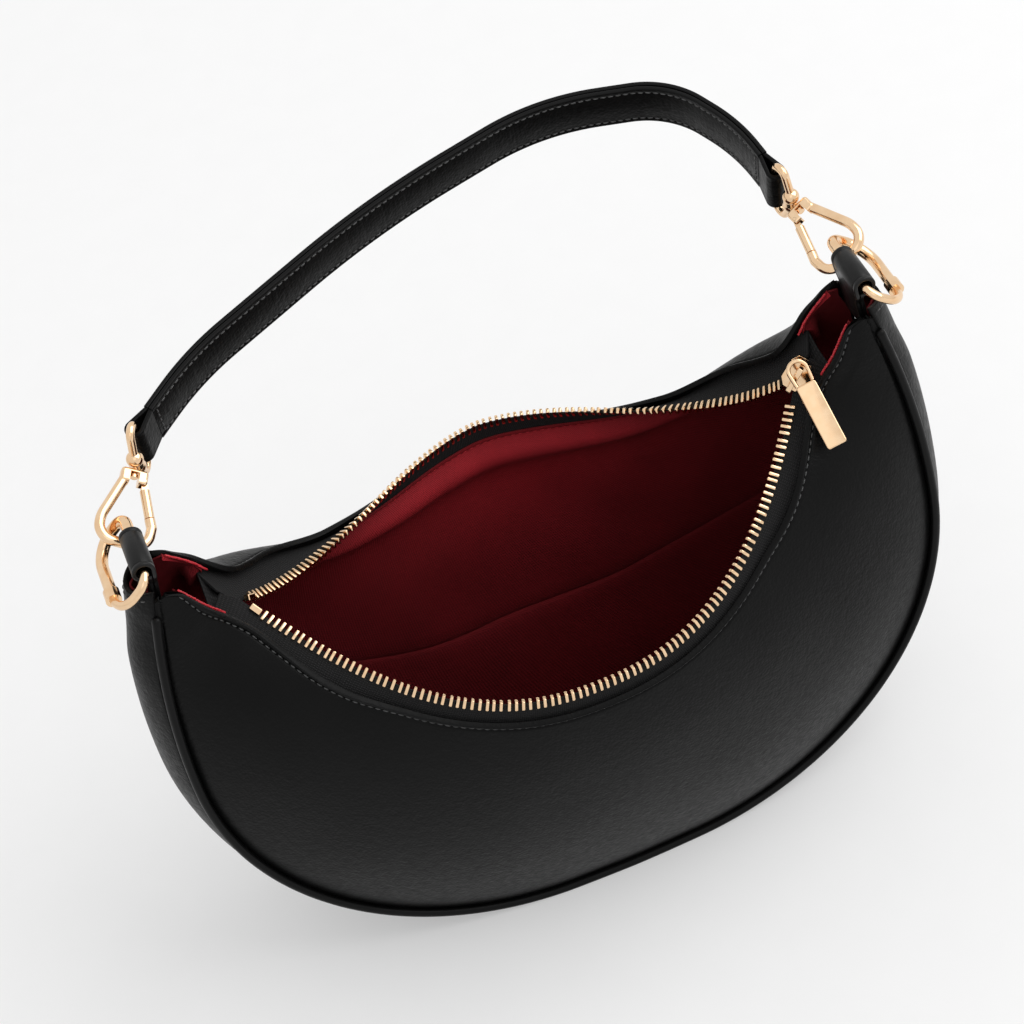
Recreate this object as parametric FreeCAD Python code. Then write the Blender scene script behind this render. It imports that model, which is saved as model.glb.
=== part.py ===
import FreeCAD, Part
import math
import os

Vec = FreeCAD.Vector
os.makedirs("parts", exist_ok=True)

# Crescent shoulder bag with an open zip, two spring hooks and a short strap.
# Millimetres and degrees. X runs along the bag's width, Y to the back, Z up.
# The origin lies on the floor under the middle of the bag's base.

# Outline of the bag from the front
base_flat = 50.0            # straight stretch that the bag stands on
half_width = 142.4          # middle of the bag to the widest point of a side
widest_height = 118.0
horn_inset = 13.4           # a horn stands this far inside the widest point
horn_height = 209.0
base_depth = 74.0           # front seam to back seam under the bag
horn_depth = 21.0           # front seam to back seam at a horn
depth_shape = 1.5           # power of the depth's taper along the outline
side_swell = 7.0            # the side strip stands out between its seams
side_swell_start = 0.4      # its full swell is this share of the outline above the base
panel_swell = 9.0           # the panels stand out between seam and mouth

# Leather, cloth and seams
leather = 1.6
lining_cloth = 0.8
layer_gap = 0.3             # air between two layers
piping_radius = 1.5
panel_gap = 7.0             # the panels end this far along the outline before the horn
lining_gap = 21.1
strip_gap = 3.0
piping_gap = 9.0
lining_foot = 0.03          # the lining starts at this share of the wall's height

# Mouth and zip
zip_side_gap = 39.4         # widest point of a side to the zip's end
zip_height = 177.0          # height of the zip's two ends
row_half_gap = 2.4          # middle plane to a row of teeth at the zip's ends
front_reach = 60.0          # how far the front row hangs forward
front_drop = 43.0           # and how far it hangs down
front_shape = 2.3           # power of the front row's curve
back_reach = 62.0
back_drop = 27.0
back_reach_shape = 1.6
back_drop_shape = 4.6
zip_end_gap = 42.3          # place of a zip end along the outline before the horn
tape_thickness = 0.6
tape_width = 13.0
tape_show = 5.5             # tape between the leather edge and the teeth
tooth_count = 100           # in each row
tooth_length = 3.0
tooth_height = 2.3
tooth_thickness = 1.25
tooth_neck = 0.6            # where a tooth starts to taper, as a share of its length
tooth_tip = 0.55            # and the height of its tip, as a share
row_cover = 0.962           # share of the zip's length that has teeth
stop_place = 0.975          # place of the end stops, as a share
stop_length = 4.2
stop_width = 2.4
stop_round = 0.4

# Slider and its pull
slider_length = 11.0
slider_width = 8.6
slider_plate = 1.1
slider_throat = 2.7         # space between the slider's two plates
slider_nose = 0.55          # share of the half width at the plates' front corners
slider_tail = 0.6           # and at their back corners
slider_nose_start = 0.55    # where the plates start to narrow, as shares of half their length
slider_tail_start = 0.45
slider_flange_share = 0.5   # flange length as a share of the slider's
slider_post = 2.5           # post between the plates
slider_flange = 0.9
slider_tilt = 50.0          # the slider climbs with the end of the zip
slider_yaw = 4.0
slider_roll = 48.0          # and faces to the front
slider_set = 2.0            # middle of the slider beyond the last teeth's place
crown_length = 9.6
crown_height = 5.4
crown_width = 1.8
crown_wall = 0.9
crown_round = 0.35
pull_wire = 0.75            # radius of the pull's loop wire
pull_loop_radius = 3.4      # middle of the wire at the loop's top
pull_loop_foot = 3.0        # half the loop's width at the plate
pull_loop_length = 5.0      # from the loop's centre to the plate
pull_slip = 3.75            # loop's centre from the middle of the bridge, along it
pull_back = 0.6             # to the back
pull_lift = 0.0             # and up
pull_lean = 8.4             # the pull's width rises this much to the right
pull_turn = 41.2            # the pull lies this far below level, to the front
pull_plate_length = 24.0
pull_plate_width = 7.4
pull_plate_thickness = 2.0
pull_plate_round = 1.0
pull_plate_bevel = 0.3

# Loop tabs at the horns
tab_width = 19.0
tab_tail_width = 14.0
tab_tail_length = 15.0
tab_rise = 5.0              # loop axis above the end of the side strip
tab_lie = 0.3               # the tail lies this far outside the line between the seams

# Rings
ring_radius = 2.1           # radius of the ring's wire
ring_neck_radius = 1.6      # the thinner wire beyond the collar
ring_collar_radius = 2.75
ring_collar_length = 4.5
ring_collar_lap = 3.1       # collar length on the thick wire
ring_half_length = 16.5
ring_corner = 4.6
ring_depth = 16.5
ring_bow_corner = 9.5
ring_droop = 40.0
ring_shift = 2.8            # the strap pulls the ring this far to the back
fit_gap = 0.35              # air around wires in their loops

# Swivel hooks
handle_tilt = 13.0          # the strap's plane rises this much to the back
left_lean = 26.0            # lean of each clasp towards the middle
right_lean = 13.0
clasp_out = 3.4             # middle of a clasp outside its loop axis
clasp_gap_back = 1.5        # air between the tab and the hook's bend
clasp_gap_low = 1.35        # air between the ring and the hook's bend below it
hook_roll = 28.0
hook_radius = 1.8           # radius of the hook's wire
hook_bend = 8.8             # half the hook's width at its bend
hook_belly = 0.9            # height of the widest place, as a share of that half width
hook_toe = 0.95             # half width at the bottom, as a share
hook_round = 5.5
hook_shoulder = 12.0
hook_heel_round = 1.0       # bend below the gate
hook_leg_top = 24.0         # where the legs meet the head
hook_head_half = 3.1        # middle of the hook to the top of a leg
head_length = 5.5
head_sink = 1.5             # the head starts this far below the tops of the legs
head_half_width = 4.7
head_thickness = 4.4
head_wall = 1.3
head_round = 1.2
head_window_length = 5.5    # the window is open below
head_window_width = 3.2
gate_low = 11.0             # lower end of the gate on its leg
gate_thinner = 0.1          # the gate's wire is this much finer than the hook's
gate_tongue = 1.8           # thickness of the tongue in the head's slot
gate_tongue_width = 2.2
gate_tongue_length = 5.6
gate_neck = 3.0             # pin to the start of the gate's round bar
gate_pin_out = 0.4          # pin outside the top of its leg
gate_pin_rise = 1.6         # pin above the head's lower end
gate_pin_radius = 0.6
pin_gap = 0.05              # air around the gate's pin
gate_slot_length = 4.6
gate_slot_width = 4.4
gate_slot_offset = 1.2      # middle of the slot from the leg and from the head's end
post_radius = 0.9
post_head_radius = 1.3
post_head_length = 1.2
post_root = 1.5             # length of the post inside the saddle
saddle_lobe = 3.0           # radius of the saddle's two round lobes
saddle_spread = 2.2         # middle of the clasp to the middle of a lobe
saddle_waist = 0.93         # thickness between the lobes, as a share of theirs
bail_radius = 1.5
bail_reach = 8.5            # from the saddle to the bail's bar
bail_side_gap = 1.35        # air beside the strap's edges
bail_corner = 3.0
bail_foot = 1.2             # the bail's ends from the middle of the saddle
bail_foot_out = 4.6         # where the bail leaves the saddle
bail_foot_rise = 0.6
bail_foot_round = 2.0
bail_shoulder = 0.42        # place of the bail's shoulder along its reach
bail_shoulder_round = 2.5

# Strap
strap_width = 18.0
strap_layer = 1.7
strap_split = 0.2           # air between the two strap layers
strap_taper = 8.5           # length of the loop's taper beside the bail bar
strap_lap = 9.0             # the inner layer ends this far from the bail bar
wrap_hollow = 0.8           # length of the loop's hollow, as a share of the taper
band_lap = 1.0              # the strap's band runs this far into the loop's taper
turn_share = 0.45           # share of a straight run that a bend may use up
# Corners of the strap's line: shares of half the bag's width, then reach from the rings
strap_route = [(-0.618, 57.0), (-0.07, 90.0), (0.421, 105.0), (0.745, 92.0), (0.843, 64.0)]


def save(shape, node):
    shape.exportStep("parts/" + node + ".step")
    print(node, len(shape.Solids), round(shape.Volume, 1))


# Helpers for points, wires and solids

def spline_edge(points):
    curve = Part.BSplineCurve()
    curve.interpolate(points)
    return curve.toShape()


def closed_section(outer, inner):
    sides = [spline_edge(outer), Part.makeLine(outer[-1], inner[-1])]
    sides += [spline_edge(list(reversed(inner))), Part.makeLine(inner[0], outer[0])]
    return Part.Wire(sides)


def rounded_path(points, radii):
    # Straight runs joined by tangent arcs, as one wire
    edges = []
    start = points[0]
    for corner in range(1, len(points) - 1):
        here = points[corner]
        back = (points[corner - 1] - here).normalize()
        ahead = (points[corner + 1] - here).normalize()
        half = back.getAngle(ahead) / 2
        cut = radii[corner - 1] / math.tan(half)
        enter = here + back * cut
        leave = here + ahead * cut
        to_middle = (back + ahead).normalize()
        middle = here + to_middle * (radii[corner - 1] / math.sin(half) - radii[corner - 1])
        if (enter - start).Length > 1e-6:
            edges.append(Part.makeLine(start, enter))
        edges.append(Part.Arc(enter, middle, leave).toShape())
        start = leave
    if (points[-1] - start).Length > 1e-6:
        edges.append(Part.makeLine(start, points[-1]))
    return Part.Wire(edges)


def tube(path, radius):
    first = path.OrderedEdges[0]
    start = first.valueAt(first.FirstParameter)
    heading = first.tangentAt(first.FirstParameter)
    ring = Part.Wire([Part.makeCircle(radius, start, heading)])
    return path.makePipeShell([ring], True, False)


def block(centre, along, across, length, width, height):
    # A box around a centre, with two of its directions given
    up = along.cross(across)
    corner = centre - along * (length / 2) - across * (width / 2) - up * (height / 2)
    base = [corner, corner + along * length]
    base += [corner + along * length + across * width, corner + across * width, corner]
    return Part.Face(Part.makePolygon(base)).extrude(up * height)


def soften(solid, radius):
    return solid.makeFillet(radius, solid.Edges)


# Outline of the bag: a flat base, a quarter ellipse and a leaning side

def outline_points():
    points = [(0.0, 0.0)]
    flat = base_flat / 2
    for step in range(61):
        angle = math.pi / 2 * step / 60
        x = flat + (half_width - flat) * math.sin(angle)
        points.append((x, widest_height * (1 - math.cos(angle))))
    for step in range(1, 31):
        rise = step / 30
        x = half_width - horn_inset * rise ** 2
        points.append((x, widest_height + (horn_height - widest_height) * rise))
    return points


outline = outline_points()
outline_arc = [0.0]
for low, high in zip(outline, outline[1:]):
    outline_arc.append(outline_arc[-1] + math.dist(low, high))
outline_length = outline_arc[-1]
flat_station = base_flat / 2 / outline_length
panel_end = 1 - panel_gap / outline_length
lining_end = 1 - lining_gap / outline_length
strip_end = 1 - strip_gap / outline_length
piping_end = 1 - piping_gap / outline_length
zip_end_station = 1 - zip_end_gap / outline_length
zip_half_length = half_width - zip_side_gap


def outline_at(station):
    reach = min(max(station, 0.0), 1.0) * outline_length
    index = 1
    while outline_arc[index] < reach and index < len(outline) - 1:
        index += 1
    share = (reach - outline_arc[index - 1]) / (outline_arc[index] - outline_arc[index - 1])
    low = outline[index - 1]
    high = outline[index]
    return (low[0] + (high[0] - low[0]) * share, low[1] + (high[1] - low[1]) * share)


def outline_out(station):
    # Direction that points out of the bag, square to the outline
    low = outline_at(station - 0.004)
    high = outline_at(station + 0.004)
    span = math.dist(low, high)
    return ((high[1] - low[1]) / span, (low[0] - high[0]) / span)


def edge_point(u, inset, y):
    side = 1 if u >= 0 else -1
    x, z = outline_at(abs(u))
    out_x, out_z = outline_out(abs(u))
    if abs(u) <= flat_station:
        out_x, out_z = 0.0, -1.0
    return Vec(side * (x - inset * out_x), y, z - inset * out_z)


def half_depth(u):
    return horn_depth / 2 + (base_depth - horn_depth) / 2 * (1 - abs(u) ** depth_shape)


seam_inset = 2 * piping_radius + 2 * layer_gap


# Rows of teeth and the walls that carry them

def row_point(u, face):
    side = 1 if u >= 0 else -1
    share = abs(u) / zip_end_station
    if share <= 1:
        if face < 0:
            reach = front_reach * (1 - share ** front_shape)
            drop = front_drop * (1 - share ** front_shape)
        else:
            reach = back_reach * (1 - share ** back_reach_shape)
            drop = back_drop * (1 - share ** back_drop_shape)
        return Vec(side * share * zip_half_length, face * (row_half_gap + reach), zip_height - drop)
    beyond = (abs(u) - zip_end_station) / (1 - zip_end_station)
    horn = edge_point(side, seam_inset, face * horn_depth / 2)
    end = Vec(side * zip_half_length, face * row_half_gap, zip_height)
    return end + (horn - end) * beyond


def wall_control(u, face):
    seam = edge_point(u, seam_inset, face * half_depth(u))
    middle = (seam + row_point(u, face)) * 0.5
    return middle + Vec(0, face * 2 * panel_swell * (1 - u * u), 0)


def wall_point(u, t, face):
    seam = edge_point(u, seam_inset, face * half_depth(u))
    rim = row_point(u, face)
    return seam * (1 - t) ** 2 + wall_control(u, face) * (2 * t * (1 - t)) + rim * t ** 2


def wall_in(u, t, face):
    along = wall_point(u + 0.01, t, face) - wall_point(u - 0.01, t, face)
    up = wall_point(u, t + 0.01, face) - wall_point(u, t - 0.01, face)
    inward = along.cross(up).normalize()
    return inward if inward.y * face < 0 else inward * -1


def rim_share(u, face, setback):
    # Wall parameter at a distance below the row of teeth
    speed = 2 * (row_point(u, face) - wall_control(u, face)).Length
    return 1 - setback / speed


def rim_setback(u):
    beyond = max(0.0, (abs(u) - zip_end_station) / (1 - zip_end_station))
    return tape_show * (1 - beyond)


def wall_section(u, face, low, high, outer, inner):
    shares = [low + (high - low) * step / 4 for step in range(5)]
    faces = []
    for depth in (outer, inner):
        faces.append([wall_point(u, t, face) + wall_in(u, t, face) * depth for t in shares])
    return faces


def wall_solid(sections):
    # The sections are curved in space, so each end is closed by a ruled face
    faces = Part.makeLoft([closed_section(*section) for section in sections], False, False).Faces
    for outer, inner in (sections[0], sections[-1]):
        faces.append(Part.makeRuledSurface(spline_edge(outer), spline_edge(inner)))
    shell = Part.makeShell(faces)
    shell.sewShape()
    return Part.makeSolid(shell)


def spread(limit, count):
    return [-limit + 2 * limit * step / count for step in range(count + 1)]


def wall_stations(limit):
    # Closer together near the zip's ends, where the mouth turns up to the horn
    mouth = (0.0, 0.14, 0.28, 0.42, 0.56, 0.69, 0.8, 0.88, 0.94, 0.985)
    beyond = (0.12, 0.3, 0.56, 0.78, 1.0)
    half = [zip_end_station * share for share in mouth]
    half += [zip_end_station + (panel_end - zip_end_station) * share for share in beyond]
    half = [u for u in half if u <= limit + 1e-9]
    return [-u for u in reversed(half[1:])] + half


def panel(face):
    sections = []
    for u in wall_stations(panel_end):
        sections.append(wall_section(u, face, 0.0, rim_share(u, face, rim_setback(u)), 0.0, leather))
    return wall_solid(sections)


tape_depth = leather + layer_gap
lining_depth = tape_depth + tape_thickness + layer_gap


def tape(face):
    sections = []
    for u in wall_stations(zip_end_station):
        low = rim_share(u, face, tape_width)
        high = rim_share(u, face, layer_gap)
        sections.append(wall_section(u, face, low, high, tape_depth, tape_depth + tape_thickness))
    return wall_solid(sections)


def lining(face):
    sections = []
    for u in wall_stations(lining_end):
        high = rim_share(u, face, rim_setback(u) + layer_gap)
        sections.append(wall_section(u, face, lining_foot, high, lining_depth, lining_depth + lining_cloth))
    return wall_solid(sections)


# Side strip, its lining and the piping in the seams

def swell_at(u):
    rise = min(max((abs(u) - flat_station) / side_swell_start, 0.0), 1.0)
    return side_swell * rise * rise * (3 - 2 * rise)


def strip_section(u, half, inset, thickness):
    ys = [half * step / 2 for step in range(-2, 3)]
    faces = []
    for depth in (inset, inset + thickness):
        faces.append([edge_point(u, depth - swell_at(u) * (1 - (y / half) ** 2), y) for y in ys])
    return closed_section(faces[0], faces[1])


def strip(end, trim, inset, thickness):
    # The base is a flat plate, and each side is a smooth loft
    def section(u):
        return strip_section(u, half_depth(u) - trim, inset, thickness)

    def corner(u, face):
        return edge_point(u, inset, face * (half_depth(u) - trim))
    flats = (-flat_station, 0.0, flat_station)
    rim = [corner(u, -1) for u in flats] + [corner(u, 1) for u in reversed(flats)]
    plate = Part.Face(Part.makePolygon(rim + rim[:1]))
    pieces = [plate.extrude(Vec(0, 0, thickness))]
    for side in (-1, 1):
        stations = [side * (flat_station + (end - flat_station) * step / 12) for step in range(13)]
        pieces.append(Part.makeLoft([section(u) for u in stations], True, False))
    return pieces[0].fuse(pieces[1:]).removeSplitter()


strip_trim = piping_radius + layer_gap


def piping(face):
    rings = []
    for u in spread(piping_end, 28):
        y = face * half_depth(u)
        centre = edge_point(u, piping_radius + layer_gap, y)
        ahead = edge_point(u + 0.01, piping_radius + layer_gap, face * half_depth(u + 0.01))
        behind = edge_point(u - 0.01, piping_radius + layer_gap, face * half_depth(u - 0.01))
        rings.append(Part.Wire([Part.makeCircle(piping_radius, centre, ahead - behind)]))
    return Part.makeLoft(rings, True, False)


# Teeth stand on the free edge of the tape

def row_table(face):
    steps = 600
    limit = zip_end_station * row_cover
    places = [-limit + 2 * limit * step / steps for step in range(steps + 1)]
    lengths = [0.0]
    for low, high in zip(places, places[1:]):
        lengths.append(lengths[-1] + (row_point(high, face) - row_point(low, face)).Length)
    return places, lengths


def row_frame(u, face):
    # Along the row, out of the tape, and square to both
    along = (row_point(u + 0.005, face) - row_point(u - 0.005, face)).normalize()
    out = (row_point(u, face) - wall_point(u, 0.97, face)).normalize()
    out = (out - along * out.dot(along)).normalize()
    return along, out, along.cross(out)


def tape_edge(u, face):
    return row_point(u, face) + wall_in(u, 1.0, face) * (tape_depth + tape_thickness / 2)


def tooth(u, face):
    along, out, up = row_frame(u, face)
    half = tooth_height / 2
    profile = [(0.0, -half), (tooth_neck * tooth_length, -half), (tooth_length, -tooth_tip * half)]
    profile += [(tooth_length, tooth_tip * half), (tooth_neck * tooth_length, half), (0.0, half)]
    foot = tape_edge(u, face) - along * (tooth_thickness / 2)
    corners = [foot + out * a + up * b for a, b in profile]
    return Part.Face(Part.makePolygon(corners + corners[:1])).extrude(along * tooth_thickness)


def teeth(face):
    places, lengths = row_table(face)
    solids = []
    index = 0
    for number in range(tooth_count):
        goal = lengths[-1] * (number + 0.5) / tooth_count
        while lengths[index + 1] < goal:
            index += 1
        solids.append(tooth(places[index], face))
    print("row length", round(lengths[-1], 1), "pitch", round(lengths[-1] / tooth_count, 2))
    return Part.makeCompound(solids)


def end_stops():
    # One clamped stop on each tape beyond the last tooth at the left end
    solids = []
    for face in (-1, 1):
        u = -zip_end_station * stop_place
        along, out, up = row_frame(u, face)
        centre = tape_edge(u, face) + out * (stop_width / 2)
        solids.append(soften(block(centre, along, out, stop_length, stop_width, tooth_height), stop_round))
    return Part.makeCompound(solids)


# Slider at the right end of the zip

tilt_angle = math.radians(slider_tilt)
yaw_angle = math.radians(slider_yaw)
slider_level = Vec(math.cos(yaw_angle), math.sin(yaw_angle), 0)
slider_along = slider_level * math.cos(tilt_angle) + Vec(0, 0, math.sin(tilt_angle))
slider_side = Vec(-math.sin(yaw_angle), math.cos(yaw_angle), 0)
slider_across = FreeCAD.Rotation(slider_along, slider_roll).multVec(slider_side)
slider_up = slider_along.cross(slider_across)
zip_end = Vec(zip_half_length, 0, zip_height)
slider_centre = zip_end + slider_along * slider_set + slider_up * (tooth_height / 2)


def slider_face(side):
    # Plate outline: both ends are narrower than the middle
    end = slider_length / 2
    half = slider_width / 2
    profile = [(-end, -slider_nose * half), (-slider_nose_start * end, -half)]
    profile += [(slider_tail_start * end, -half), (end, -slider_tail * half)]
    profile += [(a, -b) for a, b in reversed(profile)]
    base = slider_centre + slider_up * (side * slider_throat / 2)
    corners = [base + slider_along * a + slider_across * b for a, b in profile]
    return Part.Face(Part.makePolygon(corners + corners[:1]))


def slider_body():
    height = slider_throat + slider_plate
    post_place = slider_centre - slider_along * ((slider_length - slider_post) / 2)
    solids = [block(post_place, slider_along, slider_across, slider_post, slider_post, height)]
    for side in (-1, 1):
        solids.append(slider_face(side).extrude(slider_up * (side * slider_plate)))
        place = slider_centre + slider_across * (side * (slider_width - slider_flange) / 2)
        length = slider_flange_share * slider_length
        solids.append(block(place, slider_along, slider_across, length, slider_flange, height))
    return solids[0].fuse(solids[1:]).removeSplitter()


crown_seat = slider_centre + slider_up * (slider_throat / 2 + slider_plate)
bridge_centre = crown_seat + slider_up * (crown_height - crown_wall / 2)


def slider_crown():
    # A bridge over the slider that holds the pull's loop
    opening = crown_height - crown_wall
    outer = block(crown_seat + slider_up * (crown_height / 2), slider_along, slider_across,
                  crown_length, crown_width, crown_height)
    inner = block(crown_seat + slider_up * (opening / 2), slider_along, slider_across,
                  crown_length - 2 * crown_wall, 2 * crown_width, opening)
    bridge = outer.cut(inner)
    tops = []
    for edge in bridge.Edges:
        heights = [(vertex.Point - crown_seat).dot(slider_up) for vertex in edge.Vertexes]
        if min(heights) > crown_height - crown_round:
            tops.append(edge)
    return bridge.makeFillet(crown_round, tops)


# The pull: a wire loop round the bridge's upper foot and a flat plate

lean_angle = math.radians(pull_lean)
turn_angle = math.radians(pull_turn)
pull_across = Vec(math.cos(lean_angle), 0, math.sin(lean_angle))
pull_fall = Vec(math.sin(lean_angle), 0, -math.cos(lean_angle))
pull_down = Vec(0, -math.cos(turn_angle), 0) + pull_fall * math.sin(turn_angle)
pull_eye = bridge_centre + slider_along * pull_slip + slider_across * pull_back + slider_up * pull_lift
pull_plate_top = pull_eye + pull_down * pull_loop_length


def pull_loop():
    left = pull_eye - pull_across * pull_loop_radius
    right = pull_eye + pull_across * pull_loop_radius
    top = pull_eye - pull_down * pull_loop_radius
    edges = [Part.makeLine(pull_plate_top - pull_across * pull_loop_foot, left)]
    edges.append(Part.Arc(left, top, right).toShape())
    edges.append(Part.makeLine(right, pull_plate_top + pull_across * pull_loop_foot))
    return tube(Part.Wire(edges), pull_wire).cut(pull_plate())


def pull_plate():
    centre = pull_plate_top + pull_down * (pull_plate_length / 2)
    plate = block(centre, pull_down, pull_across, pull_plate_length, pull_plate_width, pull_plate_thickness)
    corners = [edge for edge in plate.Edges if edge.Length < pull_plate_thickness * 1.01]
    plate = plate.makeFillet(pull_plate_round, corners)
    return plate.makeChamfer(pull_plate_bevel, plate.Edges)


# Loop tabs at the horns

def horn_frame(side):
    x, z = outline_at(1.0)
    out_x, out_z = outline_out(0.99)
    out = Vec(side * out_x, 0, out_z)
    up = Vec(-side * out_z, 0, out_x)
    return Vec(side * x, 0, z), out, up


tab_bore = ring_radius + fit_gap
tab_radius = tab_bore + leather
tab_tail = 2 * leather


def loop_axis(side):
    horn, out, up = horn_frame(side)
    return horn + out * (tab_radius + tab_lie - tab_tail) + up * tab_rise


def tab(side):
    horn, out, up = horn_frame(side)
    axis = loop_axis(side)
    across = Vec(0, 1, 0)
    loop = Part.makeCylinder(tab_radius, tab_width, axis - across * (tab_width / 2), across)
    tail_length = tab_rise + tab_tail_length
    centre = axis - out * (tab_radius - tab_tail / 2) - up * (tail_length / 2)
    tail = block(centre, up, across, tail_length, tab_tail_width, tab_tail)
    bore = Part.makeCylinder(tab_bore, tab_width * 2, axis - across * tab_width, across)
    return loop.fuse(tail).cut(bore).removeSplitter()


# Rings: a straight run in the loop tab and a drooping bow outside it

def ring_frame(side):
    droop = math.radians(ring_droop)
    bow = Vec(side * math.cos(droop), 0, -math.sin(droop))
    return loop_axis(side) + Vec(0, ring_shift, 0), bow, Vec(0, 1, 0)


def ring_path(side):
    axis, bow, back = ring_frame(side)
    far = bow * ring_depth
    points = [axis, axis + back * ring_half_length, axis + back * ring_half_length + far]
    points += [axis - back * ring_half_length + far, axis - back * ring_half_length, axis]
    return rounded_path(points, [ring_corner, ring_bow_corner, ring_bow_corner, ring_corner])


def ring(side):
    edges = ring_path(side).OrderedEdges
    thick = tube(Part.Wire(edges[:5]), ring_radius)
    thin = tube(Part.Wire(edges[5:]), ring_neck_radius)
    return thick.fuse(thin).removeSplitter()


def ring_collar(side):
    edge = ring_path(side).OrderedEdges[4]
    end = edge.valueAt(edge.LastParameter)
    heading = edge.tangentAt(edge.LastParameter)
    base = end - heading * ring_collar_lap
    sleeve = Part.makeCylinder(ring_collar_radius, ring_collar_length, base, heading)
    return sleeve.cut(ring(side))


# Clasps: hook, gate, swivel and bail share one frame

tilt = math.radians(handle_tilt)
plane_back = Vec(0, math.cos(tilt), math.sin(tilt))
plane_up = Vec(0, -math.sin(tilt), math.cos(tilt))
pivot_y = tab_width / 2 + hook_radius + clasp_gap_back
pivot_z = loop_axis(1).z - ring_radius - hook_radius - clasp_gap_low


def clasp_lean(side):
    return math.radians(left_lean if side < 0 else right_lean)


def clasp_frame(side):
    # Middle of the hook's bend, then along the clasp, towards the gate and square to both
    along = plane_back * math.cos(clasp_lean(side)) - Vec(side, 0, 0) * math.sin(clasp_lean(side))
    flat = along.cross(plane_up) * -side
    roll = math.radians(hook_roll)
    inner = flat * math.cos(roll) - plane_up * math.sin(roll)
    base = Vec(loop_axis(side).x + side * clasp_out, pivot_y, pivot_z)
    return base, along, inner, along.cross(inner)


def clasp_place(side, across, reach):
    base, along, inner, face = clasp_frame(side)
    return base + inner * across + along * reach


def leg_line(reach):
    # Half width of the hook at a distance from its bend
    low = hook_bend * hook_belly
    share = (reach - low) / (hook_leg_top - low)
    return hook_bend + (hook_head_half - hook_bend) * share


head_start = hook_leg_top - head_sink
head_end = head_start + head_length


def hook_path(side):
    belly = hook_bend * hook_belly
    toe = hook_bend * hook_toe
    corners = [(-hook_head_half, hook_leg_top), (-hook_bend, belly), (-toe, 0.0)]
    corners += [(toe, 0.0), (hook_bend, belly)]
    points = [clasp_place(side, across, reach) for across, reach in corners]
    points.append(clasp_place(side, leg_line(gate_low), gate_low))
    return rounded_path(points, [hook_shoulder, hook_round, hook_round, hook_heel_round])


def hook(side):
    base, along, inner, face = clasp_frame(side)
    centre = clasp_place(side, 0, (head_start + head_end) / 2)
    head = block(centre, along, inner, head_length, 2 * head_half_width, head_thickness)
    head = soften(head, head_round)
    window_centre = clasp_place(side, 0, head_end - head_wall - head_window_length / 2)
    window = block(window_centre, along, inner, head_window_length, head_window_width, 2 * head_thickness)
    bore_start = clasp_place(side, 0, head_end - head_wall - head_window_length / 2)
    bore = Part.makeCylinder(post_radius + fit_gap, head_length, bore_start, along)
    slot_centre = clasp_place(side, hook_head_half + gate_slot_offset, head_start + gate_slot_offset)
    slot = block(slot_centre, along, inner, gate_slot_length, gate_slot_width, gate_tongue + 2 * fit_gap)
    cuts = Part.makeCompound([window, bore, slot, gate_pin(side, gate_pin_radius + pin_gap)])
    return tube(hook_path(side), hook_radius).fuse(head).cut(cuts).removeSplitter()


def gate_pivot(side):
    return clasp_place(side, hook_head_half + gate_pin_out, head_start + gate_pin_rise)


def gate_pin(side, radius):
    face = clasp_frame(side)[3]
    return Part.makeCylinder(radius, head_thickness, gate_pivot(side) - face * (head_thickness / 2), face)


def gate(side):
    face = clasp_frame(side)[3]
    pivot = gate_pivot(side)
    low = clasp_place(side, leg_line(gate_low), gate_low)
    heading = (low - pivot).normalize()
    foot = low - heading * fit_gap
    top = pivot + heading * gate_neck
    bar = Part.makeCylinder(hook_radius - gate_thinner, (foot - top).Length, top, heading)
    middle = pivot + heading * (gate_tongue_length - gate_tongue_width) / 2
    tongue = block(middle, heading, face.cross(heading), gate_tongue_length, gate_tongue_width, gate_tongue)
    return bar.fuse(tongue).cut(gate_pin(side, gate_pin_radius + pin_gap)).removeSplitter()


bail_start = head_end + fit_gap + saddle_lobe
bar_reach = bail_start + bail_reach


def swivel(side):
    # Saddle that carries the bail, with the post that the hook turns on
    along = clasp_frame(side)[1]
    middle = clasp_place(side, 0, bail_start)
    lobes = [Part.makeSphere(saddle_lobe, middle + plane_up * (s * saddle_spread)) for s in (-1, 1)]
    waist_start = middle - plane_up * saddle_spread
    waist = Part.makeCylinder(saddle_lobe * saddle_waist, 2 * saddle_spread, waist_start, plane_up)
    post_start = head_end - head_wall - fit_gap
    post_length = head_end + fit_gap + post_root - post_start
    post = Part.makeCylinder(post_radius, post_length, clasp_place(side, 0, post_start), along)
    knob_start = clasp_place(side, 0, post_start - post_head_length)
    knob = Part.makeCylinder(post_head_radius, post_head_length, knob_start, along)
    return waist.fuse(lobes + [post, knob]).cut(bail(side)).removeSplitter()


def bail(side):
    # D-shaped wire with its ends in the saddle and its bar in the strap's end loop
    along = clasp_frame(side)[1]
    half = strap_width / 2 + bail_radius + bail_side_gap
    foot = clasp_place(side, 0, bail_start)
    arm = [(bail_foot, 0.0), (bail_foot_out, bail_foot_rise)]
    arm += [(half, bail_reach * bail_shoulder), (half, bail_reach)]
    points = [foot + plane_up * rise + along * reach for rise, reach in arm]
    points += [foot - plane_up * rise + along * reach for rise, reach in reversed(arm)]
    rounds = [bail_foot_round, bail_shoulder_round, bail_corner]
    return tube(rounded_path(points, rounds + rounds[::-1]), bail_radius)


# Strap: two layers that stand on edge, the outer one wrapped round each bail bar

def bar_place(side):
    # Place of a bail bar in the strap's plane: along X and away from the pivot
    x = loop_axis(side).x + side * clasp_out - side * math.sin(clasp_lean(side)) * bar_reach
    return (x, math.cos(clasp_lean(side)) * bar_reach)


strap_line = [bar_place(-1)]
strap_line += [(share * half_width, reach) for share, reach in strap_route]
strap_line.append(bar_place(1))


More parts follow.
